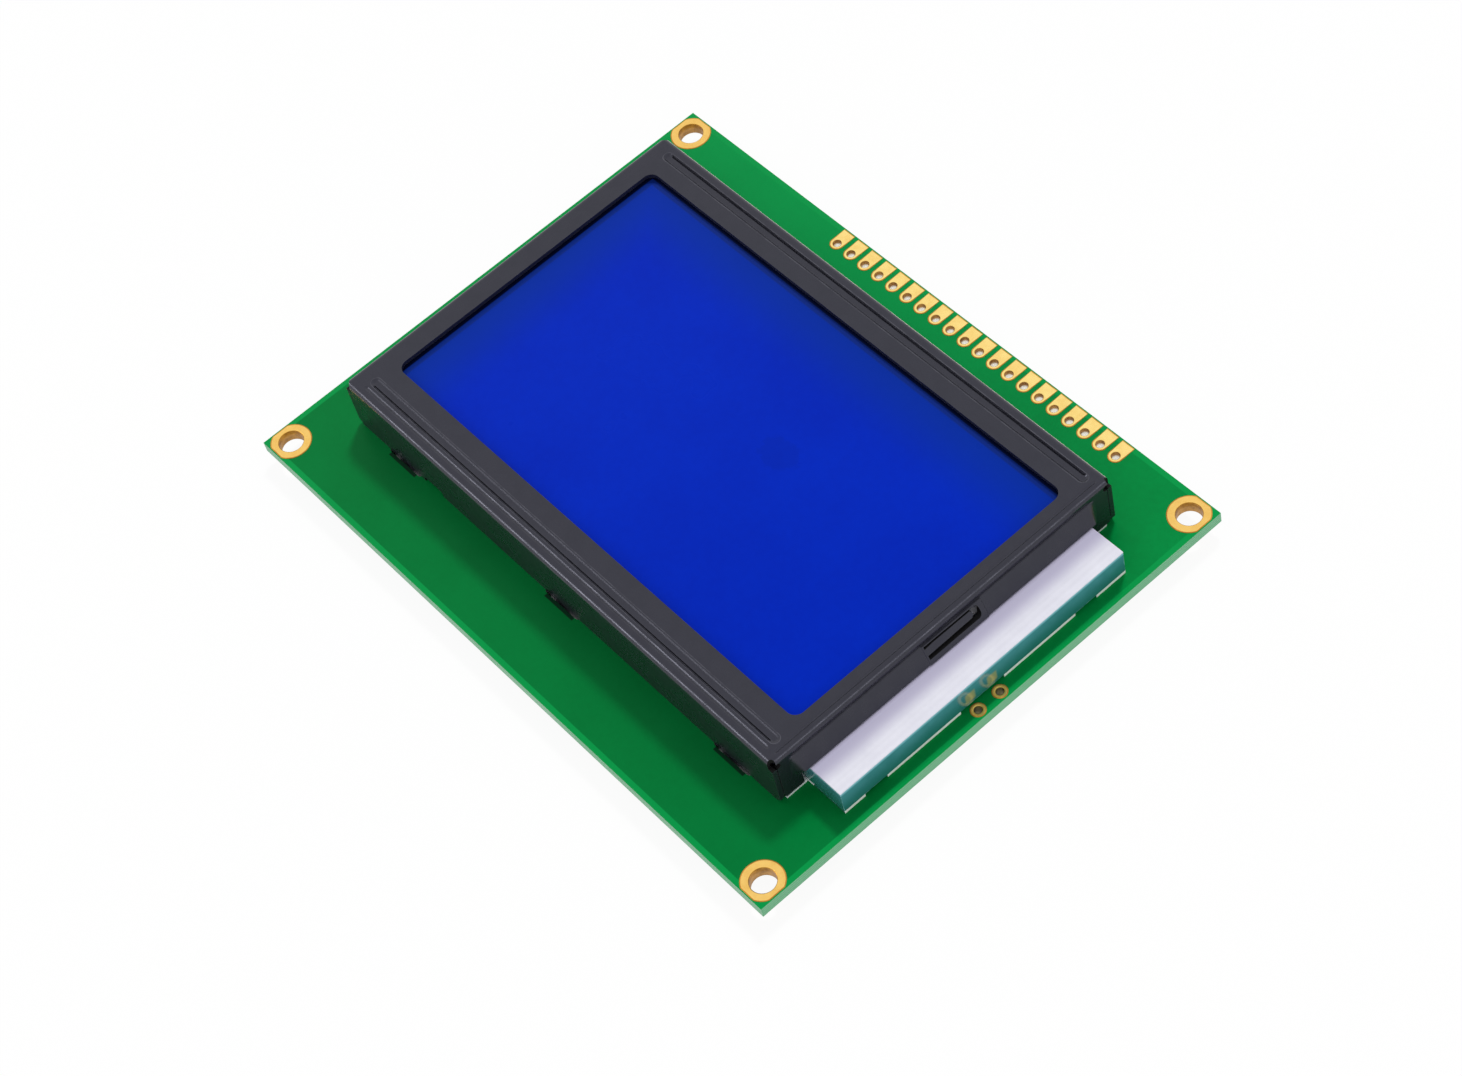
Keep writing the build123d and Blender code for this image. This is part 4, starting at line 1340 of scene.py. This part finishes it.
@dataclass
class Bezel:
    """The folded black sheet: window, beads, skirts, hood, lanced slot and tabs."""

    left: float = SITE.left
    right: float = SITE.right
    front: float = SITE.front
    back: float = SITE.back
    top: float = SITE.top
    sheet: float = 0.6
    bend: float = 0.7
    bend_steps: int = 8
    window: tuple[float, float, float, float] = SITE.window
    window_corner: float = 1.3
    side_levels: tuple[float, ...] = (8.3, 7.4, 6.4, 5.4, 4.4, 3.4, 2.5, SITE.board)
    left_levels: tuple[float, ...] = (8.0, 7.0, 6.0, 5.0, 4.0, 3.0, 2.1)
    right_upper_levels: tuple[float, ...] = (8.75, 8.6, 8.45, 8.3, 8.15)
    right_lower_levels: tuple[float, ...] = (5.6, 5.3, 4.9, 4.4, 3.6, 2.8, 2.1)
    tab_half: float = 3.0
    blade_half: float = 2.0
    shank_levels: Place = (0.8, -0.05)
    tab_twist: float = 35.0
    tab_end: float = -1.4
    tab_steps: int = 6
    hood_top: float = 8.1
    hood_lip: float = 5.85
    hood_reach: float = 1.2
    hood_front: float = -21.25
    hood_back: float = 22.55
    hood_return: float = 1.3
    cheek: float = 1.3
    boss: Place = (-2.85, 6.1)
    boss_height: float = 0.1
    boss_soft: float = 0.1
    undercut: float = 0.13
    undercut_top: float = 8.9
    undercut_fall: float = 0.6
    relief_level: float = 8.5
    relief_inset: float = 0.8
    relief_radius: float = 0.45
    relief_reach: Place = (0.5, 1.3)
    slant_reach: Place = (0.3, 1.25)
    slant_low: float = 8.3
    nick_low: float = 8.2
    cut_high: float = 9.9
    foot_cut: tuple[float, float, float] = (0.4, 1.2, 1.6)
    foot_low: float = 1.2
    notch_xs: Place = (-26.6, -23.0)
    notch_top: float = 2.05
    notch_corner: float = 0.45
    slot_ys: Place = (-2.6, 5.4)
    slot_zs: Place = (6.4, 7.95)
    slot_hook: float = 1.0
    slot_corner: float = 0.55

    def __post_init__(self) -> None:
        """Lays out the grid's lines and the pressed ones."""
        self.sheet_mesh = Sheet()
        self.turns = [
            (self.bend * math.sin(angle), self.bend * (1 - math.cos(angle)))
            for angle in (
                math.pi / 2 * step / self.bend_steps for step in range(1, self.bend_steps + 1)
            )
        ]
        self.columns = self.with_turns(self.flat_xs())
        self.rows = self.with_turns(self.flat_ys())
        start, end = SITE.bead_xs
        front, back = SITE.bead_ys
        groove = (start + 0.25, end - 0.25)
        ends = (self.front + 1.6, self.back - 1.6)
        self.presses = (
            Press(start, end, front, depth=0.16, half=0.66, wall=0.44),
            Press(*groove, front - 0.5, depth=0.25, half=0.16, wall=0.13),
            Press(start, end, back, depth=0.25, half=0.66, wall=0.34),
            Press(*groove, back + 0.5, depth=0.25, half=0.16, wall=0.13),
            Press(start - 0.2, end + 0.2, self.front + 1.36, depth=0.14, half=0.3, wall=0.3),
            Press(*ends, self.right - 0.95, depth=0.1, half=0.2, wall=0.18, way=Axis.Y),
        )

    def flat_xs(self) -> list[float]:
        """The grid's lines along the flat face, closer together where it bends."""
        left, right = self.left + self.bend, self.right - self.bend
        w_left, w_right, _, _ = self.window
        shares = (-1.0, -0.5, 0.0, 0.5, 1.0)
        return merged(
            [left, right, w_left, w_right],
            [tab + share * self.tab_half for tab in SITE.tab_xs for share in shares],
            spread(left, w_left + 1.6, 0.13),
            spread(w_right - 1.6, right - 0.7, 0.13),
            spread(right - 0.7, right, 0.07),
            spread(w_left + 1.6, w_right - 1.6, 1.3),
            nearest=0.06,
        )

    def flat_ys(self) -> list[float]:
        """The grid's lines across the flat face, closer together at the beads."""
        front, back = self.front + self.bend, self.back - self.bend
        _, _, w_front, w_back = self.window
        return merged(
            [front, back, w_front, w_back, self.hood_front, self.hood_back],
            [place + step for place in self.boss for step in (-0.16, -0.08, 0.0, 0.08, 0.16)],
            spread(front, front + 3.1, 0.085),
            spread(back - 2.6, back, 0.085),
            spread(front + 3.1, w_front, 0.5),
            spread(w_front, w_front + 1.4, 0.14),
            spread(w_back - 1.4, w_back, 0.14),
            spread(w_back, back - 2.6, 0.5),
            spread(w_front + 1.4, w_back - 1.4, 1.2),
            nearest=0.05,
        )

    def with_turns(self, flats: Sequence[float]) -> list[Place]:
        """Adds the folds' lines at both ends of the flat ones.

        Args:
            flats: Places of the flat lines, in order.

        Returns:
            Pairs of place and drop below the face.
        """
        start = [(flats[0] - out, drop) for out, drop in reversed(self.turns)]
        end = [(flats[-1] + out, drop) for out, drop in self.turns]
        return start + [(place, 0.0) for place in flats] + end

    def arc_centres(self) -> list[tuple[float, float, int, int]]:
        """Centres of the window's rounded corners, each with its two sides."""
        left, right, front, back = self.window
        xs = {-1: left + self.window_corner, 1: right - self.window_corner}
        ys = {-1: front + self.window_corner, 1: back - self.window_corner}
        return [(xs[side_x], ys[side_y], side_x, side_y) for side_x, side_y in SQUARE]

    def is_open(self, x: float, y: float) -> bool:
        """Whether the window is open at a place."""
        left, right, front, back = self.window
        if not (left < x < right and front < y < back):
            return False
        for centre_x, centre_y, side_x, side_y in self.arc_centres():
            if (x - centre_x) * side_x > 0 and (y - centre_y) * side_y > 0:
                return math.hypot(x - centre_x, y - centre_y) < self.window_corner
        return True

    def rounded(self, x: float, y: float) -> Place:
        """Moves a point of the window's edge onto its rounded corner.

        Args:
            x: Its place along the bezel.
            y: Its place across it.

        Returns:
            The new place.
        """
        for centre_x, centre_y, side_x, side_y in self.arc_centres():
            over_x, over_y = (x - centre_x) * side_x, (y - centre_y) * side_y
            if over_x > 1e-6 and over_y > 1e-6:
                scale = self.window_corner / math.hypot(over_x, over_y)
                return centre_x + side_x * over_x * scale, centre_y + side_y * over_y * scale
        return x, y

    def make_face(self) -> dict[tuple[int, int], int]:
        """Builds the face with its folds, without the window.

        Returns:
            Point numbers by column and row.
        """
        solid: set[tuple[int, int]] = set()
        edge: set[tuple[int, int]] = set()
        for i in range(len(self.columns) - 1):
            for j in range(len(self.rows) - 1):
                x = (self.columns[i][0] + self.columns[i + 1][0]) / 2
                y = (self.rows[j][0] + self.rows[j + 1][0]) / 2
                if self.is_open(x, y):
                    edge.update(around(i, j))
                else:
                    solid.add((i, j))
        numbers: dict[tuple[int, int], int] = {}
        for cell in solid:
            for corner in around(*cell):
                if corner in numbers:
                    continue
                x, drop_x = self.columns[corner[0]]
                y, drop_y = self.rows[corner[1]]
                if corner in edge:
                    x, y = self.rounded(x, y)
                pressed = sum(press.fall(x, y) for press in self.presses)
                z = self.top - max(drop_x, drop_y) - pressed
                numbers[corner] = self.sheet_mesh.point(x, y, z)
        for i, j in solid:
            a, b, c, d = (numbers[corner] for corner in around(i, j))
            far_x = self.columns[i][1] + self.columns[i + 1][1] > 0
            far_y = self.rows[j][1] + self.rows[j + 1][1] > 0
            if far_x and far_y:
                same = (i < len(self.columns) / 2) == (j < len(self.rows) / 2)
                for corners in ((a, b, c), (a, c, d)) if same else ((a, b, d), (b, c, d)):
                    self.sheet_mesh.face(*corners)
            else:
                self.sheet_mesh.face(a, b, c, d)
        return numbers

    def make_long_skirt(self, numbers: dict[tuple[int, int], int], at_back: bool) -> None:
        """Hangs a long skirt with its three twisted tabs on the face.

        Args:
            numbers: Point numbers of the face.
            at_back: Whether it is the skirt beside the header holes.
        """
        row = len(self.rows) - 1 if at_back else 0
        y = self.back if at_back else self.front
        xs = [column[0] for column in self.columns]
        above = [numbers[(i, row)] for i in range(len(self.columns))]
        for level in self.side_levels:
            below = [self.sheet_mesh.point(x, y, level) for x in xs]
            self.strip(above, below, at_back)
            above = below
        for tab in SITE.tab_xs:
            inside = [i for i, x in enumerate(xs) if abs(x - tab) <= self.tab_half + 0.01]
            upper = [above[i] for i in inside]
            for level in self.shank_levels:
                lower = [self.sheet_mesh.point(xs[i], y, level) for i in inside]
                self.strip(upper, lower, at_back)
                upper = lower
            self.make_blade(upper, tab, [xs[i] - tab for i in inside], at_back)

    def make_blade(
        self, upper: list[int], tab: float, steps_x: Sequence[float], at_back: bool,
    ) -> None:
        """Twists a tab's end below the board.

        Args:
            upper: Points of the tab's last straight row.
            tab: The tab's middle along the bezel.
            steps_x: The row's places, from that middle.
            at_back: Whether the tab is at the back.
        """
        y = self.back if at_back else self.front
        inward = -1.0 if at_back else 1.0
        start = self.shank_levels[-1]
        off = -inward * self.sheet / 2
        for step in range(1, self.tab_steps + 1):
            turned = ease(step / (self.tab_steps - 1)) if step < self.tab_steps else 1.0
            angle = math.radians(self.tab_twist) * turned
            width = 1.0 + (self.blade_half / self.tab_half - 1.0) * ease(step / 2.0)
            level = start + (self.tab_end - start) * step / self.tab_steps
            lower = []
            for place in steps_x:
                along = place * width
                x = tab + along * math.cos(angle) - off * math.sin(angle)
                out = y - off + along * math.sin(angle) + off * math.cos(angle)
                lower.append(self.sheet_mesh.point(x, out, level))
            self.strip(upper, lower, at_back)
            upper = lower

    def make_end_skirt(self, numbers: dict[tuple[int, int], int], at_right: bool) -> None:
        """Hangs a short skirt on the face; the right one carries the hood.

        Args:
            numbers: Point numbers of the face.
            at_right: Whether it is the skirt over the light guide.
        """
        column = len(self.columns) - 1 if at_right else 0
        first = len(self.turns)
        picked = range(first, len(self.rows) - first)
        ys = [self.rows[j][0] for j in picked]
        above: list[int | None] = [numbers[(column, j)] for j in picked]
        levels = list(self.left_levels)
        if at_right:
            hood = spread(self.hood_top, self.hood_lip, 0.28)
            levels = [*self.right_upper_levels, *hood, *self.right_lower_levels]
        for level in levels:
            below = [self.end_point(y, level, at_right) for y in ys]
            for index in range(len(ys) - 1):
                corners = (above[index], above[index + 1], below[index + 1], below[index])
                if all(corner is not None for corner in corners):
                    self.sheet_mesh.face(*(corners[::-1] if at_right else corners))
            above = below

    def end_point(self, y: float, level: float, at_right: bool) -> int | None:
        """Adds a point of a short skirt, or none below the hood's lip."""
        if not at_right:
            return self.sheet_mesh.point(self.left, y, level)
        if level < self.hood_lip - 0.01 and self.hood_front + 0.01 < y < self.hood_back - 0.01:
            return None
        return self.sheet_mesh.point(self.right + self.stand_out(y, level), y, level)

    def stand_out(self, y: float, z: float) -> float:
        """How far the hood stands out from the right skirt at a place."""
        if z > self.hood_top + 0.01:
            out = -self.undercut * ease((self.undercut_top - z) / self.undercut_fall)
        elif z >= self.hood_lip:
            start, end = self.boss
            out = self.hood_reach * (self.hood_top - z) / (self.hood_top - self.hood_lip)
            on_boss = ease((y - start) / self.boss_soft) * ease((end - y) / self.boss_soft)
            out += self.boss_height * on_boss
        else:
            out = self.hood_reach * (1.0 - ease((self.hood_lip - z) / self.hood_return))
        front = ease((y - self.hood_front + self.cheek) / self.cheek)
        back = ease((self.hood_back + self.cheek - y) / self.cheek)
        return out * front * back

    def strip(self, upper: Sequence[int], lower: Sequence[int], turned: bool) -> None:
        """Joins two rows of a skirt, facing out."""
        for index in range(len(upper) - 1):
            corners = (upper[index], lower[index], lower[index + 1], upper[index + 1])
            self.sheet_mesh.face(*(corners[::-1] if turned else corners))

    def corner_cuts(self) -> list[Prism]:
        """Reliefs under the face's corners, one slanted corner and three nicks."""
        turns = full_turn(24)
        out, depth = self.relief_reach
        cuts = [
            Prism(arc(y, self.relief_level, self.relief_radius, turns), low, high, Axis.X)
            for y in (self.front + self.relief_inset, self.back - self.relief_inset)
            for low, high in (
                (self.left - out, self.left + depth), (self.right - depth, self.right + out),
            )
        ]
        out, depth = self.slant_reach
        slant = [
            (self.left - out, self.front - out), (self.left + depth, self.front - out),
            (self.left - out, self.front + depth),
        ]
        cuts.append(Prism(slant, self.slant_low, self.cut_high, Axis.Z))
        nicks = (
            (self.left + 0.12, self.back - 0.12, 0.62),
            (self.right - 0.25, self.front + 0.25, 0.5),
            (self.right - 0.25, self.back - 0.25, 0.36),
        )
        for x, y, radius in nicks:
            cuts.append(Prism(arc(x, y, radius, turns), self.nick_low, self.cut_high, Axis.Z))
        return cuts

    def skirt_cuts(self) -> list[Prism]:
        """Slanted feet at the long skirts' ends, and a notch in each."""
        out, depth, height = self.foot_cut
        start, end = self.notch_xs
        low, top, round_off = self.foot_low, self.notch_top, self.notch_corner
        notch = [
            (start, low), (end, low), (end, top),
            *arc(end - round_off, top, round_off, (0.4, 0.8, 1.2, 1.57)),
            *arc(start + round_off, top, round_off, (1.57, 1.95, 2.35, 2.75)),
            (start, top),
        ]
        cuts = []
        for near, far in ((self.front - 0.5, self.front + 0.9), (self.back - 0.9, self.back + 0.5)):
            for side, edge in ((-1, self.left), (1, self.right)):
                outer, inner = edge + side * out, edge - side * depth
                foot = [(outer, low), (inner, low), (outer, low + height)]
                cuts.append(Prism(foot, near, far, Axis.Y))
            cuts.append(Prism(notch, near, far, Axis.Y))
        return cuts

    def lanced_slot(self) -> Prism:
        """The hooked slot in the hood."""
        start, end = self.slot_ys
        low, high = self.slot_zs
        hook, round_off = end - self.slot_hook, self.slot_corner
        quarter = (0.0, 0.4, 0.8, 1.2, 1.57)
        outline = [
            (start, high + 0.06), (start, high - 0.26), (start + 1.2, high - 0.18),
            (hook - 0.2, high - 0.2), (hook, high - 0.4), (hook, low + 0.8),
            (hook - 0.3, low + 0.58), (start, low + 0.5), (start, low),
            *arc(end - round_off, low + round_off, round_off, [t - math.pi / 2 for t in quarter]),
            *arc(end - round_off, high - round_off, round_off, quarter),
        ]
        return Prism(outline, self.right - 1.3, self.right + 2.2, Axis.X)

    def cutters(self) -> bpy.types.Object:
        """One object that holds every solid that is cut out of the folded sheet."""
        cut = Sheet()
        for prism in (*self.corner_cuts(), *self.skirt_cuts(), self.lanced_slot()):
            prism.add_to(cut)
        return cut.object("bezel_cutters", Palette.bezel_cut)

    def build(self) -> None:
        """Makes the bezel."""
        numbers = self.make_face()
        for far in (False, True):
            self.make_long_skirt(numbers, at_back=far)
        for far in (False, True):
            self.make_end_skirt(numbers, at_right=far)
        shell = self.sheet_mesh.object("bezel_shell", Palette.bezel_paint, merge=0.0005)
        thick = shell.modifiers.new("sheet", "SOLIDIFY")
        thick.thickness = self.sheet * MM
        thick.offset = -1.0
        thick.use_even_offset = True
        thick.use_quality_normals = True
        settle(shell)
        cutter = self.cutters()
        cut = shell.modifiers.new("cut", "BOOLEAN")
        cut.operation = "DIFFERENCE"
        cut.object = cutter
        cut.solver = "EXACT"
        # The cut walls take the cutters' darker black as painted shade.
        cut.material_mode = "TRANSFER"
        cut.use_self = True
        settle(shell, 30.0)
        bpy.data.objects.remove(cutter, do_unlink=True)
        place_piece(shell, "bezel_paint", "bezel")


@dataclass
class ChipCovers:
    """Three poured epoxy domes over the driver chips."""

    places: tuple[Place, ...] = ((-27.0, -9.0), (3.0, 12.0), (27.0, -9.0))
    radius: float = 7.5
    height: float = 1.9
    edge_inset: float = 0.22
    edge_wave: float = 0.1
    points: int = 96
    steps: int = 22

    def build(self) -> None:
        """Makes the three domes."""
        for number, place in enumerate(self.places, start=1):
            self.dome(number, place)

    def edge(self, angle: float, phase: float) -> float:
        """A dome's uneven radius at an angle."""
        wave = math.sin(3 * angle + phase) + 0.6 * math.sin(5 * angle - 2 * phase)
        wave += 0.4 * math.sin(9 * angle + phase)
        return self.radius - self.edge_inset + self.edge_wave * wave

    def dome(self, number: int, place: Place) -> None:
        """Pours one dome: an uneven round edge and a low crown.

        Args:
            number: Which dome.
            place: Its centre.
        """
        sheet = Sheet()
        phase = 1.7 * number
        rings = []
        for step in range(self.steps + 1):
            share = step / self.steps
            level = -self.height * (1.0 - share**2.3) ** 0.8 if share < 1 else 0.0
            places = []
            for angle in full_turn(self.points):
                wander = 1.0 + 0.012 * math.sin(2 * angle + phase) * (1 - share)
                reach = max(share, 0.001) * self.edge(angle, phase) * wander
                places += [(x, y, level) for x, y in arc(*place, reach, [angle])]
            rings.append(sheet.ring(places))
        sheet.solid(rings)
        dome = sheet.object(f"epoxy_dome_{number}", Palette.black_epoxy)
        place_piece(settle(dome, 60.0), "black_epoxy", f"chip_cover_{number}")


@dataclass(frozen=True)
class ChipKind:
    """The height, direction and body of one kind of small chip."""

    height: float
    way: Axis
    body: Finish


@dataclass
class SmallChips:
    """Resistors and capacitors on the back, with tinned ends and solder."""

    length: float = 2.0
    width: float = 1.25
    cap: float = 0.38
    soft: float = 0.035
    resistor_middle: Place = (-2.0, -21.0)
    resistor_pitch: float = 3.2
    capacitor_middle: Place = (-30.0, 12.0)
    capacitor_pitch: float = 3.4

    def build(self) -> None:
        """Makes both groups."""
        x, y = self.resistor_middle
        row = [(x + (index - 3.5) * self.resistor_pitch, y) for index in range(8)]
        resistor = ChipKind(0.5, Axis.Y, Palette.black_ceramic)
        resistors = self.group("chip_resistors", row, resistor)
        place_piece(resistors, "black_ceramic", "resistors")
        x, y = self.capacitor_middle
        pitch = self.capacitor_pitch
        block = [(x + (a - 1) * pitch, y + (b - 0.5) * pitch) for a in range(3) for b in range(2)]
        capacitor = ChipKind(0.9, Axis.X, Palette.tan_ceramic)
        capacitors = self.group("chip_capacitors", block, capacitor)
        place_piece(capacitors, "tan_ceramic", "capacitors")

    def group(self, name: str, places: Sequence[Place], kind: ChipKind) -> bpy.types.Object:
        """Makes one group of chips.

        Args:
            name: The piece's name.
            places: Their centres.
            kind: Their height, direction and body.

        Returns:
            The object that holds the group.
        """
        sheet = Sheet()
        for number, place in enumerate(places):
            self.chip(sheet, place, kind, 0.012 * math.sin(2.3 * number))
        made = sheet.object(name, kind.body, Palette.tinned_lead)
        soften(made, self.soft)
        return settle(made, 40.0)

    def chip(self, sheet: Sheet, place: Place, kind: ChipKind, lean: float) -> None:
        """Adds one chip as rings along its length.

        Args:
            sheet: Where its points and faces go.
            place: Its centre.
            kind: Its height, direction and body.
            lean: Small turn from its soldering, in radians.
        """
        half = self.length / 2 - 0.01
        inner = half - self.cap
        stations = (
            (-half, 0.0), (-inner, 0.0), (-inner, 0.025), (inner, 0.025), (inner, 0.0), (half, 0.0),
        )
        rings = []
        for along, inset in stations:
            wide, low, high = self.width / 2 - 0.01 - inset, -inset * 0.5, -kind.height + inset
            places = []
            for across, level in ((-wide, low), (wide, low), (wide, high), (-wide, high)):
                a = along * math.cos(lean) - across * math.sin(lean)
                b = along * math.sin(lean) + across * math.cos(lean)
                if kind.way is Axis.Y:
                    a, b = b, a
                places.append((place[0] + a, place[1] + b, level))
            rings.append(sheet.ring(places))
        sheet.solid(rings, (1, 1, 0, 1, 1), ends=1)


@dataclass
class Converter:
    """The voltage converter on the back: moulded body and gull-wing leads."""

    centre: Place = (-30.0, 19.0)
    length: float = 4.9
    width: float = 3.9
    stand_off: float = 0.1
    height: float = 1.4
    soft: float = 0.06
    pitch: float = 1.27
    lead_width: float = 0.42
    lead: float = 0.2
    reach: float = 1.05

    def build(self) -> None:
        """Makes the body and its leads."""
        self.make_body()
        self.make_leads()

    def make_body(self) -> None:
        """Makes the body, which tapers both ways from its parting line."""
        sheet = Sheet()
        middle = self.stand_off + self.height / 2
        levels = (
            (-self.stand_off, 0.10), (-middle + 0.04, 0.0), (-middle - 0.04, 0.0),
            (-self.stand_off - self.height + 0.16, 0.09), (-self.stand_off - self.height, 0.24),
        )
        rings = []
        for level, inset in levels:
            x, y = self.length / 2 - inset, self.width / 2 - inset
            rings.append(sheet.ring([
                (self.centre[0] + a * x, self.centre[1] + b * y, level) for a, b in SQUARE
            ]))
        sheet.solid(rings)
        body = sheet.object("converter_body", Palette.black_moulding)
        soften(body, self.soft)
        place_piece(settle(body, 35.0), "black_moulding", "converter_chip")

    def make_leads(self) -> None:
        """Makes eight leads, each one bent strip."""
        sheet = Sheet()
        top = -(self.stand_off + self.height / 2) + self.lead / 2
        bends = (
            (-0.15, top), (0.22, top), (0.33, top + 0.05), (0.38, top + 0.16),
            (0.42, -0.30), (0.48, -0.17), (0.60, -0.1), (self.reach - 0.01, -0.1),
        )
        path = [(self.width / 2 + out, level) for out, level in bends]
        for side in (-1, 1):
            for number in range(4):
                x = self.centre[0] + (number - 1.5) * self.pitch
                self.bent_strip(sheet, x, side, path)
        leads = sheet.object("converter_pins", Palette.tinned_lead)
        place_piece(settle(leads, 50.0), "tinned_lead", "converter_leads")

    def bent_strip(self, sheet: Sheet, x: float, side: int, path: Sequence[Place]) -> None:
        """Adds one lead along its middle line.

        Args:
            sheet: Where its points and faces go.
            x: Its place along the body.
            side: Which side of the body it leaves from.
            path: Its middle line as distance from the body's middle and level.
        """
        rings = []
        half = self.lead_width / 2 - 0.01
        for index, (out, level) in enumerate(path):
            before, after = path[max(index - 1, 0)], path[min(index + 1, len(path) - 1)]
            run, fall = after[0] - before[0], after[1] - before[1]
            length = math.hypot(run, fall)
            off_y, off_z = -fall / length * self.lead / 2, run / length * self.lead / 2
            outer = (self.centre[1] + side * (out + off_y), min(level + off_z, 0.0))
            inner = (self.centre[1] + side * (out - off_y), level - off_z)
            rings.append(sheet.ring([
                (x - half, *outer), (x + half, *outer), (x + half, *inner), (x - half, *inner),
            ]))
        sheet.solid(rings)


@dataclass
class Studio:
    """Camera, lights, world and floor."""

    camera_place: Point = (0.21022, -0.11125, 0.31223)
    camera_turn: Point = (35.25125, 9.69681, 49.00994)
    lens: float = 82.106
    sensor: float = 36.0
    clip: Place = (0.01, 20.0)
    key_strength: float = 1.75
    fill_strength: float = 1.1
    glint_strength: float = 0.66
    end_glint_share: float = 0.4
    world_strength: float = 0.56
    floor_level: float = -1.9
    floor_half: float = 2500.0
    floor_colour: Colour = (0.86, 0.86, 0.86)
    floor_glow: float = 0.93
    white: Colour = (1.0, 1.0, 1.0)

    def build(self) -> None:
        """Sets up the whole studio."""
        bpy.context.scene.view_settings.view_transform = "Standard"
        self.make_camera()
        end_strength = self.glint_strength * self.end_glint_share
        self.make_sun("key", (-0.31, 0.49, 0.82), self.key_strength, 9.0, glossy=False)
        self.make_sun("fill", (0.75, -0.6, 0.28), self.fill_strength, 60.0, glossy=False)
        self.make_sun(
            "front_glint", (-0.535, -0.65, 0.54), self.glint_strength, 16.0, diffuse=False,
        )
        self.make_sun("end_glint", (0.79, 0.28, 0.53), end_strength, 16.0, diffuse=False)
        self.make_world()
        self.make_floor()

    def make_camera(self) -> None:
        """A long lens over the module's front right corner."""
        lens = bpy.data.cameras.new("camera")
        lens.sensor_width = self.sensor
        lens.sensor_fit = "HORIZONTAL"
        lens.lens = self.lens
        lens.clip_start, lens.clip_end = self.clip
        camera = bpy.data.objects.new("camera", lens)
        camera.location = self.camera_place
        camera.rotation_euler = Euler([math.radians(angle) for angle in self.camera_turn], "XYZ")
        bpy.context.scene.collection.objects.link(camera)
        bpy.context.scene.camera = camera

    def make_sun(
        self, name: str, towards: Point, strength: float, width: float,
        diffuse: bool = True, glossy: bool = True,
    ) -> None:
        """A broad distant light.

        Args:
            name: Its name.
            towards: Direction from the module to the light.
            strength: Its strength.
            width: Its apparent width in degrees.
            diffuse: Whether dull surfaces catch it.
            glossy: Whether gloss mirrors it.
        """
        light = bpy.data.lights.new(name, "SUN")
        light.energy = strength
        light.angle = math.radians(width)
        sun = bpy.data.objects.new(name, light)
        sun.rotation_euler = Vector(towards).normalized().to_track_quat("Z", "Y").to_euler()
        sun.visible_diffuse = diffuse
        sun.visible_glossy = glossy
        bpy.context.scene.collection.objects.link(sun)

    def make_world(self) -> None:
        """Even light from all round, which the eye and gloss see as white."""
        world = bpy.data.worlds.new("studio")
        bpy.context.scene.world = world
        world.use_nodes = True
        world.node_tree.nodes.clear()
        graph = Graph(world.node_tree)
        missing = 1.0 - self.world_strength
        strength = graph.sum("MULTIPLY_ADD", graph.seen(), missing, self.world_strength)
        light = graph.node("ShaderNodeBackground")
        graph.feed(light.inputs["Color"], self.white)
        graph.feed(light.inputs["Strength"], strength)
        output = graph.node("ShaderNodeOutputWorld")
        graph.feed(output.inputs["Surface"], light.outputs[0])

    def make_floor(self) -> None:
        """A plain white floor that keeps a soft shadow."""
        sheet = Sheet()
        half, level = self.floor_half, self.floor_level
        sheet.face(*sheet.ring([(a * half, b * half, level) for a, b in SQUARE]))
        mesh = sheet.mesh("floor")
        floor = bpy.data.objects.new("floor", mesh)
        bpy.context.scene.collection.objects.link(floor)
        made, graph = empty_material("floor_white")
        diffuse = graph.node("ShaderNodeBsdfDiffuse")
        graph.feed(diffuse.inputs["Color"], self.floor_colour)
        glow = graph.node("ShaderNodeEmission")
        graph.feed(glow.inputs["Color"], self.white)
        blend = graph.node("ShaderNodeMixShader")
        graph.feed(blend.inputs[0], graph.times(graph.seen(), self.floor_glow))
        graph.feed(blend.inputs[1], diffuse.outputs[0])
        graph.feed(blend.inputs[2], glow.outputs[0])
        output = graph.node("ShaderNodeOutputMaterial")
        graph.feed(output.inputs["Surface"], blend.outputs[0])
        mesh.materials.append(made)


def main() -> None:
    """Builds the module piece by piece, and the studio round it."""
    logging.basicConfig(level=logging.INFO, format="%(name)s: %(message)s")
    parts = (
        Studio(), CircuitBoard(), PlatedHoles(), Bezel(), DisplayCell(), Backlight(),
        ChipCovers(), SmallChips(), Converter(),
    )
    for part in parts:
        LOG.info("building %s", type(part).__name__)
        part.build()


if __name__ == "__main__":
    main()
